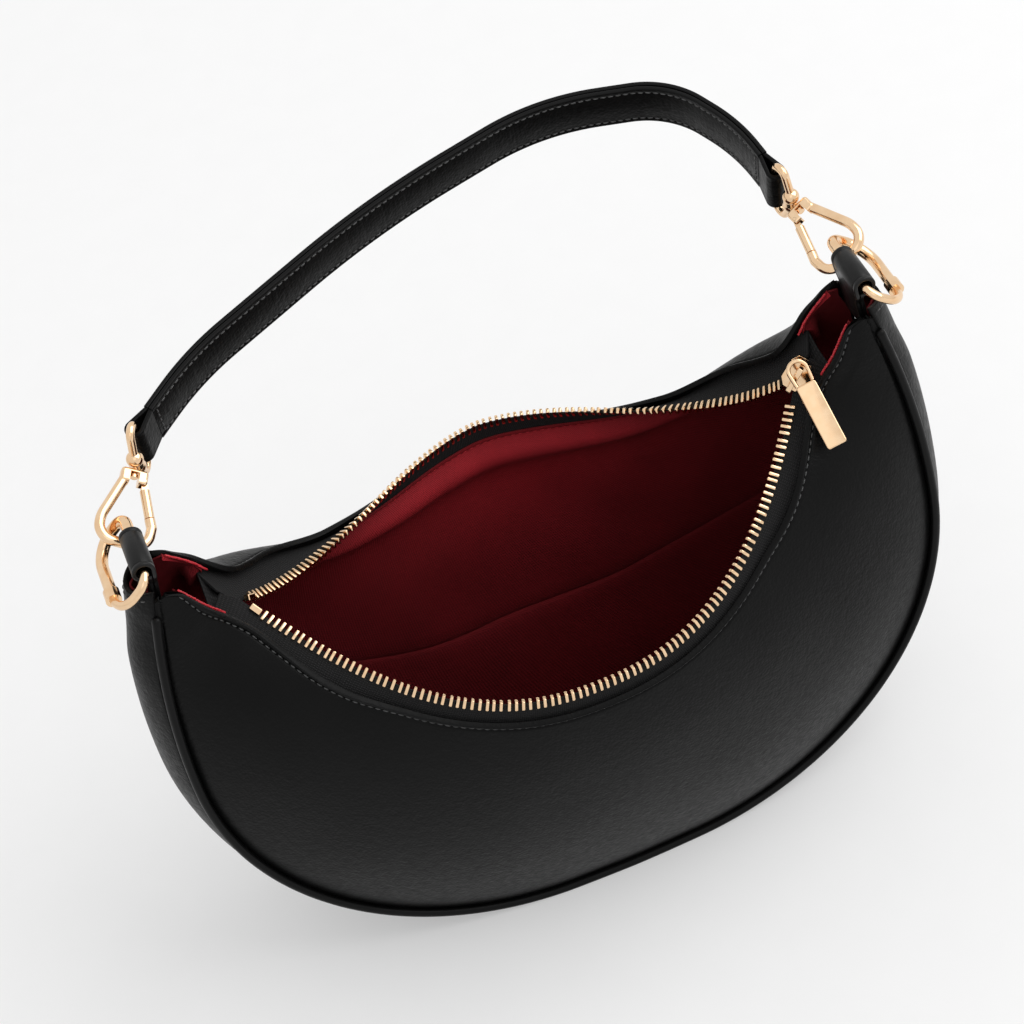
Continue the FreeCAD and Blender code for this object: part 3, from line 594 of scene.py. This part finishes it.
def gussetEnd(across):
    # the top edge dips in a U round the loop tab, and its back corner stays below the hook
    low = gusset["lip"] * (1 - across ** 2)
    return gusset["end"] - low - gusset["hookRoom"] * smooth(across, *gusset["hookZone"])


def makeGusset():
    def place(column, row):
        across = 2 * row / gusset["rows"] - 1
        u = gussetEnd(across) * (2 * column / gusset["columns"] - 1)
        return gussetPlace(u, across, 0.0, gusset["trim"])
    obj = shapeGrid("gussetLeather", gusset["columns"], gusset["rows"], place, (600.0, 60.0), Vector((0, 0, -1)))
    return thicken(obj, gusset["thickness"], edgeRound=gusset["edgeRound"])


def lipLine(side):
    for across in spread(gusset["seamAcross"], steps=24):
        u = side * (gussetEnd(across) - gusset["seamBelow"])
        outer = gussetPlace(u, across, 0.0, gusset["trim"])
        yield outer, (outer - gussetPlace(u, across, 1.0, gusset["trim"])).normalized()


finishPiece(makeGusset(), blackCalf, "black_leather", "gusset")
sewRows("lipStitches", [lipLine(-1), lipLine(1)], blackThread, "black_leather")

piping = {"radius": 1.75, "columns": 220, "sides": 14, "end": 0.956,
          "endRound": [0.0, 0.12, 0.45, 1.0, 1.75]}  # rings of the round tip, from its end


def ringPoint(centre, u, step, angle, radius):
    # on a round cord that follows centre(u)
    heading = (centre(u + step) - centre(u - step)).normalized()
    out = heading.cross(Vector((0, 1, 0))).normalized()
    return centre(u) + (out * cos(angle) + heading.cross(out) * sin(angle)) * radius


def makePiping(name, face):
    end = piping["end"]
    tip = [reach / outlineArc[-1] for reach in piping["endRound"]]
    stations = [step - end for step in tip[:-1]] + spread(end - tip[-1], piping["columns"])
    stations += [end - step for step in tip[-2::-1]]

    def centre(u):
        return edgePoint(u, bag["pipingInset"], face * halfDepth(u))

    def place(column, row):
        u = stations[column]
        fromEnd = min((end - abs(u)) * outlineArc[-1] / piping["radius"], 1.0)
        radius = piping["radius"] * sqrt(max(0.0, 1 - (1 - fromEnd) ** 2))
        return ringPoint(centre, u, bag["edgeStep"], 2 * pi * row / piping["sides"], radius)
    return closeForm(shapeGrid(name, len(stations) - 1, piping["sides"], place, (600.0, 9.4)))


makePair(makePiping, "PipingCord", edgePaint, "black_leather", "_piping")
print("gusset and piping made")


# lining of twill, slack between its seams

lining = {
    "end": 0.97, "columns": 150, "depth": 2.8, "thickness": 0.7, "midLength": 0.45, "gussetLength": 0.58,
    "rimRows": [0.0, 0.5, 1.1, 1.7, 2.2, 2.8, 4.0, 5.5, 7.0, 8.5, 10.0, 12.0, 14.0, 16.5, 20.0],
    "rimGap": 0.3, "rimOfWall": 0.5, "underTape": 6.0, "underZone": (0.5, 0.72), "underEndZone": (0.865, 0.895),
    "seamAt": 1.7, "seamDip": 0.5, "seamWidth": 0.5, "seamEnd": 0.84,
    "roll": 5.0, "rollAt": 8.5, "rollWidth": 6.0, "rollZone": (1.7, 5.0),
    "slack": 2.6, "slackBase": 0.5, "slackFold": 0.8, "fineShare": 0.5, "upperRows": 14, "lowerRows": 12,
    "hornLow": 0.3, "hornLowZone": (0.93, 0.965), "hornHug": 1.0, "hugZone": (0.88, 0.91),
    "gussetTrim": 2.3, "hornTrim": 4.2, "trimZone": (0.84, 0.93), "gussetInset": 1.9, "gussetEnd": 0.972,
}
crease = {"height": 0.375, "flat": 0.2, "fallRight": 2.1, "fallLeft": 0.9, "aboveLow": 0.1, "belowRim": 0.06,
          "rows": [0.014, 0.006, 0.0, -0.006, -0.014], "depth": 1.0, "width": 0.006, "middle": 0.05, "reach": 0.45}


def creaseShare(u):
    # pressed seam across the inside of the back
    right, left = max(0.0, u - crease["flat"]), max(0.0, -u - crease["flat"])
    return crease["height"] - crease["fallRight"] * right ** 2 - crease["fallLeft"] * left ** 2


def liningShare(u, row, face):
    rim = lining["rimRows"]
    seam, control, top = wallCurve(u, face)
    scale = min(1.0, lining["rimOfWall"] * (top - seam).length / rim[-1])
    under = smooth(abs(u), *lining["underZone"]) * (1 - smooth(abs(u), *lining["underEndZone"]))
    drop = lining["rimGap"] + lining["underTape"] * under + rim[min(row, len(rim) - 1)] * scale
    start = rimShare(u, face, rimSetback(u) + drop)
    row -= len(rim) - 1
    if row <= 0:
        return start
    low = lining["hornLow"] * smooth(abs(u), *lining["hornLowZone"])
    middle = min(max(creaseShare(u), low + crease["aboveLow"]), start - crease["belowRim"])
    steps = crease["rows"]
    if row <= lining["upperRows"]:
        return start + (middle + steps[0] - start) * row / lining["upperRows"]
    row -= lining["upperRows"]
    if row < len(steps):
        return middle + steps[row]
    row -= len(steps) - 1
    return middle + steps[-1] + (low - middle - steps[-1]) * row / lining["lowerRows"]


def liningPlace(u, row, face):
    t = liningShare(u, row, face)
    fold = noise.noise((u * 3.1, t * 2.2, 5.0 * face))  # slow folds, then smaller ones
    fold += lining["fineShare"] * noise.noise((u * 8, t * 5, 2.0))
    hug = smooth(abs(u), *lining["hugZone"])
    slack = lining["slack"] * max(0.0, lining["slackBase"] + lining["slackFold"] * fold)
    slack *= max(0.0, sin(pi * min(max(t, 0.0), 1.0))) * (1 - abs(u) ** 6) * (1 - hug)
    depth = lining["depth"] - lining["hornHug"] * hug + slack
    if row < len(lining["rimRows"]):
        drop = lining["rimRows"][row]
        roll = lining["roll"] * bump(drop, lining["rollAt"], lining["rollWidth"])
        depth += (1 - hug) * roll * smooth(drop, *lining["rollZone"])
        depth -= lining["seamDip"] * bump(drop, lining["seamAt"], lining["seamWidth"])
    elif face > 0:
        pressed = bump(t, creaseShare(u), crease["width"]) * bump(u, crease["middle"], crease["reach"])
        depth -= crease["depth"] * pressed
    return wallPoint(u, t, face) + wallIn(u, t, face) * depth


def makeLining(name, face):
    rows = len(lining["rimRows"]) + lining["upperRows"] + len(crease["rows"]) + lining["lowerRows"] - 2

    def place(column, row):
        return liningPlace(lining["end"] * (2 * column / lining["columns"] - 1), row, face)
    return shapeGrid(name, lining["columns"], rows, place, (540.0, 140.0), Vector((0, -face, 0)))


def facingLine(face):
    row = lining["rimRows"].index(lining["seamAt"])
    for u in spread(lining["seamEnd"], steps=300):
        inward = wallIn(u, liningShare(u, row, face), face)
        yield liningPlace(u, row, face) + inward * lining["thickness"], inward


def makeGussetLining(name):
    columns, rows = gusset["columns"], gusset["rows"]

    def place(column, row):
        u = lining["gussetEnd"] * (2 * column / columns - 1)
        trim = lining["gussetTrim"] + lining["hornTrim"] * smooth(abs(u), *lining["trimZone"])
        return gussetPlace(u, 2 * row / rows - 1, lining["gussetInset"], trim)
    return shapeGrid(name, columns, rows, place, (580.0, 55.0), Vector((0, 0, 1)))


def layCloth(obj, length, node):
    thicken(obj, lining["thickness"], 1.0)
    finishPiece(obj, crimsonTwill, "crimson_twill", node)


for face, side in faces:
    layCloth(makeLining(side + "Twill", face), lining["midLength"], side + "_lining")
layCloth(makeGussetLining("gussetTwill"), lining["gussetLength"], "gusset_lining")
sewRows("facingStitches", [facingLine(-1), facingLine(1)], redThread, "crimson_twill")

fray = {"start": 0.886, "end": 0.968, "radius": 0.42, "over": 0.2, "wander": 0.35, "shake": 700.0, "swell": 0.5,
        "columns": 60, "sides": 8, "depth": 2.0, "step": 0.002}


def makeFray(name, face, side):
    # raw edge of the lining beside the horn, with loose threads
    def centre(u):
        shake = noise.noise((u * fray["shake"], face * 4.0, side * 9.0))
        t = rimShare(u, face, rimSetback(u) - fray["over"] - fray["wander"] * shake)
        return wallPoint(side * u, t, face) + wallIn(side * u, t, face) * fray["depth"]

    def place(column, row):
        u = fray["start"] + (fray["end"] - fray["start"]) * column / fray["columns"]
        swell = 1 + fray["swell"] * noise.noise((column * 1.7, row * 0.9, face + 3.0 * side))
        radius = 0.0 if column in (0, fray["columns"]) else fray["radius"] * swell
        return ringPoint(centre, u, fray["step"], 2 * pi * row / fray["sides"], radius)
    obj = closeForm(shapeGrid(name, fray["columns"], fray["sides"], place, (32.0, 3.0)))
    finishPiece(obj, redThread, "crimson_twill")


for face, front in faces:
    for side, end in ends:
        makeFray(front + end.title() + "Fray", face, side)
print("lining made")


# zip tapes

tape = {"end": 0.893, "columns": 160, "rows": 8, "tuck": 7.0, "tuckMore": 0.15, "depth": 1.9, "teethIn": 0.3,
        "thickness": 0.6, "cord": 1.2}


def tapeEdges(u, face):
    # from the teeth to a place under the leather's edge
    top = rowPoint(u, face) + wallIn(u, 1.0, face) * (tape["depth"] + tape["teethIn"])
    t = rimShare(u, face, rimSetback(u) + tape["tuck"] * min(1.0, rimScale(u, face) + tape["tuckMore"]))
    return top, wallPoint(u, t, face) + wallIn(u, t, face) * tape["depth"]


def makeTape(name, face):
    def place(column, row):
        top, low = tapeEdges(tape["end"] * (2 * column / tape["columns"] - 1), face)
        return low.lerp(top + (top - low).normalized() * tape["cord"], row / tape["rows"])
    obj = shapeGrid(name, tape["columns"], tape["rows"], place, (280.0, 13.0), Vector((0, face, 0)))
    return thicken(obj, tape["thickness"])


makePair(makeTape, "WovenTape", wovenTape, "zip_tape", "_zip_tape")

tapeEnd = {"start": 0.838, "end": 0.893, "columns": 14, "rows": 8, "sag": 1.6, "thickness": 0.5,
           "below": 0.25, "fall": 0.4}


def makeTapeEnd(name, side):
    # beyond the last teeth the two tapes are sewn together and turn down into the horn
    def place(column, row):
        share = column / tapeEnd["columns"]
        u = side * (tapeEnd["start"] + (tapeEnd["end"] - tapeEnd["start"]) * share)
        down = tapeEnd["below"] + tapeEnd["fall"] * share ** 2
        front, back = (top.lerp(low, down) for top, low in (tapeEdges(u, -1), tapeEdges(u, 1)))
        across = row / tapeEnd["rows"]
        return front.lerp(back, across) - Vector((0, 0, tapeEnd["sag"] * sin(pi * across)))
    obj = shapeGrid(name, tapeEnd["columns"], tapeEnd["rows"], place, (17.0, 6.0), Vector((0, 0, 1)))
    finishPiece(thicken(obj, tapeEnd["thickness"]), wovenTape, "zip_tape")


for side, end in ends:
    makeTapeEnd(end + "TapeEnd", side)
print("zip tapes made")


# zip teeth: one rounded bar clamped on the tape's edge, copied along each row

tooth = {"count": 100, "cover": 0.962, "thick": 1.2, "high": 2.2, "inner": -0.9, "outer": 2.9, "round": 0.38,
         "step": 0.005}
toothForm = addObject(bpy.ops.mesh.primitive_cube_add, size=1.0)
toothSize = (tooth["thick"], tooth["outer"] - tooth["inner"], tooth["high"])
editWhole(toothForm, lambda: bpy.ops.transform.resize(value=toothSize),
          lambda: bpy.ops.transform.translate(value=(0, tooth["inner"] + toothSize[1] / 2, 0)),
          lambda: bpy.ops.mesh.bevel(offset=tooth["round"], segments=2, profile=0.5))


def toothStations(face):
    stations = spread(bag["zipEnd"] * tooth["cover"], steps=600)
    lengths = runLengths([rowPoint(u, face) for u in stations])
    return [stations[bisect_left(lengths, lengths[-1] * (number + 0.5) / tooth["count"]) - 1]
            for number in range(tooth["count"])]


def makeTeeth(name, face):
    places = []
    for u in toothStations(face):
        along = (rowPoint(u + tooth["step"], face) - rowPoint(u - tooth["step"], face)).normalized()
        foot, low = tapeEdges(u, face)
        out = foot - low
        out = (out - along * out.dot(along)).normalized()
        places.append(standAt(foot, along, out, along.cross(out)))
    return copyForm(name, toothForm, places)


makePair(makeTeeth, "ZipTeeth", paleGold, "pale_gold", "_zip_teeth")
bpy.data.objects.remove(toothForm)
print("zip teeth made")


# bands of leather swept along a path in a plane

band = {"cornerRound": 0.5, "cornerSteps": 3, "pressHalf": 0.6, "girth": 40.0}


def bandSection(thickness, width, seam, dip):
    # across the band: rounded corners, and a dip along each pressed line
    thick, wide, corner = thickness / 2, width / 2, band["cornerRound"]
    half = []
    for step in range(band["cornerSteps"] + 1):
        angle = pi / 2 * step / band["cornerSteps"]
        half.append((thick - corner + corner * sin(angle), -wide + corner - corner * cos(angle)))
    press = band["pressHalf"]
    half += [(thick, -seam - press), (thick - dip, -seam), (thick, -seam + press), (thick, 0.0)]
    half += [(a, -b) for a, b in reversed(half[:-1])]
    return half + [(-a, -b) for a, b in half] + half[:1]


def sweepBand(name, path, section, toSpace):
    path = path[:1] + path + path[-1:]
    last = len(path) - 1

    def place(column, row):
        heading = (path[min(column + 1, last)] - path[max(column - 1, 0)]).normalized()
        out = heading.orthogonal()
        depth, lift = (0.0, 0.0) if column in (0, last) else section[row]  # both ends are closed
        return toSpace(path[column] + out * depth, lift)
    return closeForm(shapeGrid(name, last, len(section) - 1, place, (runLengths(path)[-1], band["girth"])))


# loop tabs: a strip rolled round the ring and tucked into the horn

tab = {"axisX": 128.734, "axisZ": 214.124, "lean": 7.0, "rollRadius": 3.25, "thickness": 1.5, "tail": 20.0,
       "width": 19.0, "tailShare": 0.74, "narrowFrom": 3.5, "narrowOver": 4.0, "innerLayer": 3.25, "outerLayer": 1.65,
       "pressAt": 7.7, "pressDip": 0.3}


def tabPath():
    # in the roll's own plane: away from the bag, then up
    radius, tail = tab["rollRadius"], tab["tail"]
    sweep = 2 * pi - acos(tab["outerLayer"] / radius)
    inner, roll, outer = 16, 32, 14  # steps along each stretch
    points = [Vector((-tab["innerLayer"], -tail * (1 - step / inner))) for step in range(inner)]
    for step in range(roll + 1):
        angle = pi - sweep * step / roll
        points.append(Vector((radius * cos(angle), radius * sin(angle))))
    low = points[-1].y
    return points + [Vector((-tab["outerLayer"], low - (tail + low) * step / outer)) for step in range(1, outer + 1)]


def makeTab(name, side):
    lean = radians(tab["lean"])
    out = Vector((side * cos(lean), 0, sin(lean)))
    up = Vector((-side * sin(lean), 0, cos(lean)))
    axis = Vector((side * tab["axisX"], 0, tab["axisZ"]))

    def toSpace(flat, lift):
        # the tail is narrower than the roll
        narrow = min(max((-flat.y - tab["narrowFrom"]) / tab["narrowOver"], 0.0), 1.0)
        return axis + out * flat.x + up * flat.y + Vector((0, lift * (1 - (1 - tab["tailShare"]) * narrow), 0))
    section = bandSection(tab["thickness"], tab["width"], tab["pressAt"], tab["pressDip"])
    return sweepBand(name, tabPath(), section, toSpace)


makePair(makeTab, "TabLeather", rolledCalf, "black_leather", "_loop_tab", ends)
print("loop tabs made")


# strap: two layers on edge, with a loop round each bail bar that comes out between them

strap = {
    "tilt": 13.0, "pivot": (12.8, 208.874), "width": 18.0, "layer": 1.7, "split": 0.2, "lap": 8.6,
    "axisX": 132.134, "barReach": 39.85, "leftLean": 26.0, "rightLean": 13.0, "turnShare": 0.45,
    "route": [(-88.0, 57.0), (-10.0, 90.0), (60.0, 105.0), (106.1, 92.0), (120.0, 64.0)],
    "spacing": 0.9, "turnSteps": 24, "paintIn": 0.35,
    "seamAt": 7.0, "seamDip": 0.22, "seamIn": 1.9, "seamSpacing": 2.0, "seamLift": 0.12, "endLift": 0.1,
    "loopRadius": 2.75, "loopThick": 1.6, "loopWidth": 17.0, "loopTail": 13.0, "loopHalf": 0.85,
    "loopDip": 0.05, "loopSpacing": 0.5,
}
strapTilt = radians(strap["tilt"])
strapBack = Vector((0, cos(strapTilt), sin(strapTilt)))
strapUp = Vector((0, -sin(strapTilt), cos(strapTilt)))


def barPlace(side):
    lean = radians(strap["leftLean"] if side < 0 else strap["rightLean"])
    reach = strap["barReach"]
    return Vector((side * (strap["axisX"] - sin(lean) * reach), cos(lean) * reach))


strapLine = [barPlace(-1)] + [Vector(point) for point in strap["route"]] + [barPlace(1)]


def strapPoint(flat, lift):
    return Vector((flat.x, *strap["pivot"])) + strapBack * flat.y + strapUp * lift


def roundCorners(points, radii):
    path = [points[0]]
    for corner, radius in zip(range(1, len(points) - 1), radii):
        here = points[corner]
        back = (points[corner - 1] - here).normalized()
        ahead = (points[corner + 1] - here).normalized()
        half = back.angle(ahead) / 2
        middle = here + (back + ahead).normalized() * (radius / sin(half))
        start = here + back * (radius / tan(half)) - middle
        sweep = pi - 2 * half
        turn = 1 if back.x * ahead.y - back.y * ahead.x < 0 else -1
        for step in range(strap["turnSteps"] + 1):
            path.append(middle + Matrix.Rotation(turn * sweep * step / strap["turnSteps"], 2) @ start)
    path.append(points[-1])
    return path


def offsetRoute(offset, trim):
    ways = [(b - a).normalized() for a, b in zip(strapLine, strapLine[1:])]
    points = []
    radii = []
    for index, here in enumerate(strapLine):
        before = ways[max(index - 1, 0)]
        after = ways[min(index, len(ways) - 1)]
        mean = (before + after) / 2
        points.append(here + mean.orthogonal() * (offset / mean.length_squared))
        if 0 < index < len(strapLine) - 1:
            half = (pi - before.angle(after)) / 2
            runs = [(here - strapLine[index - 1]).length, (strapLine[index + 1] - here).length]
            radius = strap["turnShare"] * min(runs) * tan(half)
            bend = before.x * after.y - before.y * after.x
            radii.append(radius - copysign(offset, bend))
    points[0] += ways[0] * trim
    points[-1] -= ways[-1] * trim
    return roundCorners(points, radii)


def loopPath(side):
    # out between the layers, round the bar and back
    bar = barPlace(side)
    near = strapLine[1] if side < 0 else strapLine[-2]
    way = (near - bar).normalized()
    across = way.orthogonal()
    radius, half, turns = strap["loopRadius"], strap["loopHalf"], strap["turnSteps"]
    lean = asin((radius - half) / strap["lap"])
    path = [bar + way * strap["loopTail"] - across * half, bar + way * strap["lap"] - across * half]
    for step in range(turns + 1):
        angle = -(pi / 2 - lean) - (pi + 2 * lean) * step / turns
        path.append(bar + (way * cos(angle) + across * sin(angle)) * radius)
    return path + [bar + way * strap["lap"] + across * half, bar + way * strap["loopTail"] + across * half]


def evenly(points, spacing):
    lengths = runLengths(points)
    count = round(lengths[-1] / spacing)
    even = []
    for number in range(count + 1):
        index, share = findStretch(lengths, lengths[-1] * number / count)
        even.append(points[index - 1].lerp(points[index], share))
    return even


def paintEdges(obj):
    # the strip's cut sides take the edge paint
    base = strapPoint(Vector((0, 0)), 0) * mm
    for polygon in obj.data.polygons:
        if abs((polygon.center - base).dot(strapUp)) > (strap["width"] / 2 - strap["paintIn"]) * mm:
            polygon.material_index = 1


def makeStrip(name, path, spacing, section):
    return sweepBand(name, evenly(path, spacing), section, strapPoint)


layerMiddle = (strap["split"] + strap["layer"]) / 2
outerPath = offsetRoute(layerMiddle, strap["lap"])
innerPath = offsetRoute(-layerMiddle, strap["lap"])
strapSection = bandSection(strap["layer"], strap["width"], strap["seamAt"], strap["seamDip"])
loopSection = bandSection(strap["loopThick"], strap["loopWidth"], strap["seamAt"], strap["loopDip"])
outerStrip = makeStrip("strapOuterLeather", outerPath, strap["spacing"], strapSection)
loops = [makeStrip("loop", loopPath(side), strap["loopSpacing"], loopSection) for side in (-1, 1)]
makeActive(outerStrip)
for loop in loops:
    loop.select_set(True)
bpy.ops.object.join()
innerStrip = makeStrip("strapInnerLeather", innerPath, strap["spacing"], strapSection)
for strip, node in ((outerStrip, "strap_outer"), (innerStrip, "strap_inner")):
    finishPiece(strip, [blackCalf, edgePaint], "black_leather", node, body="handle")
    paintEdges(strip)
print("strap made")


def seamFacing(here, further, depth):
    # which way the sewn face looks, in the strap's plane and in space
    heading = (further - here).normalized()
    out = heading.orthogonal() * (1 if depth > 0 else -1)
    return out, strapPoint(out, 0) - strapPoint(Vector((0, 0)), 0)


def strapSeam(path, depth, lift):
    spots = evenly(path, strap["seamSpacing"])
    for index in range(1, len(spots) - 1):
        out, normal = seamFacing(spots[index - 1], spots[index + 1], depth)
        yield strapPoint(spots[index] + out * abs(depth), lift), normal


def endSeam(path, depth, atStart):
    # the row that closes the stitching across a strap end
    spots = evenly(path, strap["seamIn"])
    here, further = (spots[1], spots[2]) if atStart else (spots[-2], spots[-1])
    out, normal = seamFacing(here, further, depth)
    here = here + out * (abs(depth) + strap["endLift"])
    return [(strapPoint(here, lift), normal) for lift in spread(strap["seamAt"], steps=12)]


faceDepth = strap["layer"] / 2 - strap["seamDip"] + strap["seamLift"]
strapSeams = []
for path, depth in ((outerPath, faceDepth), (innerPath, -faceDepth)):
    strapSeams += [strapSeam(path, depth, lift) for lift in (-strap["seamAt"], strap["seamAt"])]
    strapSeams += [endSeam(path, depth, atStart) for atStart in (True, False)]
sewRows("strapStitches", strapSeams, blackThread, "black_leather", "handle")
bpy.data.objects.remove(stitchBead)
print("strap stitches made")


# metal: slider and pull plate get polished edges, the other pieces show their solids

polish = {"slider_body": 0.4, "slider_crown": 0.3, "pull_plate": 0.25}  # width of the rounding


def roundNode(name, node, width):
    # the solid's own shape with polished edges
    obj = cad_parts[node].copy()
    obj.data = obj.data.copy()
    obj.name = name
    bpy.context.scene.collection.objects.link(obj)
    editWhole(obj, lambda: bpy.ops.mesh.remove_doubles(threshold=0.002 * mm),
              lambda: bpy.ops.mesh.dissolve_limited(angle_limit=radians(2)))
    roundEdges(obj, width, angle=40)
    return applyAll(obj)


for node, width in polish.items():
    body = "pull" if node.startswith("pull") else "bag"
    first, second = node.split("_")
    metal = roundNode(first + second.title() + "Metal", node, width)
    finishPiece(metal, paleGold, "pale_gold", node, body=body)
goldNodes = ["zip_end_stops", "pull_loop"]
for number, side in ends:
    goldNodes += [side + "_" + part for part in ("ring", "ring_collar", "hook", "gate", "gate_pin", "swivel", "bail")]
for name in goldNodes:
    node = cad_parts[name]
    if not node.material_slots:
        node.data.materials.append(paleGold)
    for slot in node.material_slots:
        slot.material = paleGold
print("metal plated")


# floor, light and camera

stage = {
    "floorSize": 30.0, "floorTones": ("#c9c9c9", "#cccccc"), "floorFibre": 20.0, "floorGlow": 0.3,
    "worldStrengths": (0.78, 0.92),
    "keyPower": 55.0, "keySize": 3.0, "keyPlace": (2.0, -0.3, 2.3), "keyAim": (0, 0, 0.12),
    "frontPower": 0.8, "frontSize": 0.9, "frontPlace": (-0.17, -1.1, 1.3), "frontAim": (0, 0, 0.17),
}


def seenRays(tree):
    # rays from the camera, from a reflection or through glass
    rays = addNode(tree, "LightPath").outputs
    seen = rays["Is Camera Ray"]
    for kind in ("Is Glossy Ray", "Is Transmission Ray"):
        seen = addNode(tree, "Math", {0: seen, 1: rays[kind]}, operation="MAXIMUM")
    return seen


def makeFloor():
    floor = addObject(bpy.ops.mesh.primitive_plane_add, size=stage["floorSize"], location=(0, 0, 0))
    floor.name = "studioFloor"
    material, tree, shader, coords = newMaterial("studioPaper")  # matt white paper
    fibre = addNode(tree, "TexNoise", cells(coords["Object"], stage["floorFibre"], detail=2))
    tones = enumerate(stage["floorTones"])
    # a glow lifts the paper to white for the eye
    glow = addNode(tree, "Math", {0: seenRays(tree), 1: stage["floorGlow"]}, operation="MULTIPLY")
    setInputs(tree, shader, {
        "Base Color": addNode(tree, "ValToRGB", {"Fac": fibre}, tones), "Roughness": 1.0, "Specular IOR Level": 0.0,
        "Emission Color": (1, 1, 1, 1), "Emission Strength": glow})
    floor.data.materials.append(material)


def addSoftbox(name):
    place = Vector(stage[name + "Place"])
    lamp = addObject(bpy.ops.object.light_add, type="AREA", location=place)
    lamp.name = name + "Softbox"
    lamp.data.shape = "SQUARE"
    lamp.data.size = stage[name + "Size"]
    lamp.data.energy = stage[name + "Power"]
    lamp.rotation_euler = (Vector(stage[name + "Aim"]) - place).to_track_quat("-Z", "Y").to_euler()


def makeWorld():
    # dim for the soft fill, white where the eye or a reflection meets it
    world = bpy.data.worlds.new("studioWorld")
    bpy.context.scene.world = world
    world.use_nodes = True
    tree = world.node_tree
    level = addNode(tree, "MapRange", mapInputs(seenRays(tree), (0, 1), stage["worldStrengths"]))
    setInputs(tree, tree.nodes["Background"], {"Color": (1, 1, 1, 1), "Strength": level})


makeFloor()
addSoftbox("key")
addSoftbox("front")
makeWorld()
bpy.context.scene.view_settings.view_transform = "Standard"

shot = {"elevation": 46.0, "turn": -9.0, "roll": 15.3, "distance": 897.0, "target": (-5.4, 0.0, 166.7),
        "focalPixels": 2600.0, "imagePixels": 1024.0, "sensor": 36.0}


def makeCamera():
    high, turn, roll = (radians(shot[key]) for key in ("elevation", "turn", "roll"))
    back = Vector((sin(turn) * cos(high), -cos(turn) * cos(high), sin(high)))
    right = Vector((cos(turn), sin(turn), 0))
    up = back.cross(right)
    tiltRight = right * cos(roll) - up * sin(roll)
    tiltUp = right * sin(roll) + up * cos(roll)
    camera = addObject(bpy.ops.object.camera_add)
    camera.data.sensor_width = shot["sensor"]
    camera.data.lens = shot["focalPixels"] / shot["imagePixels"] * shot["sensor"]
    camera.matrix_world = Matrix((tiltRight, tiltUp, back)).transposed().to_4x4()
    camera.location = (Vector(shot["target"]) + back * shot["distance"]) * mm
    bpy.context.scene.camera = camera


makeCamera()
print("stage set")
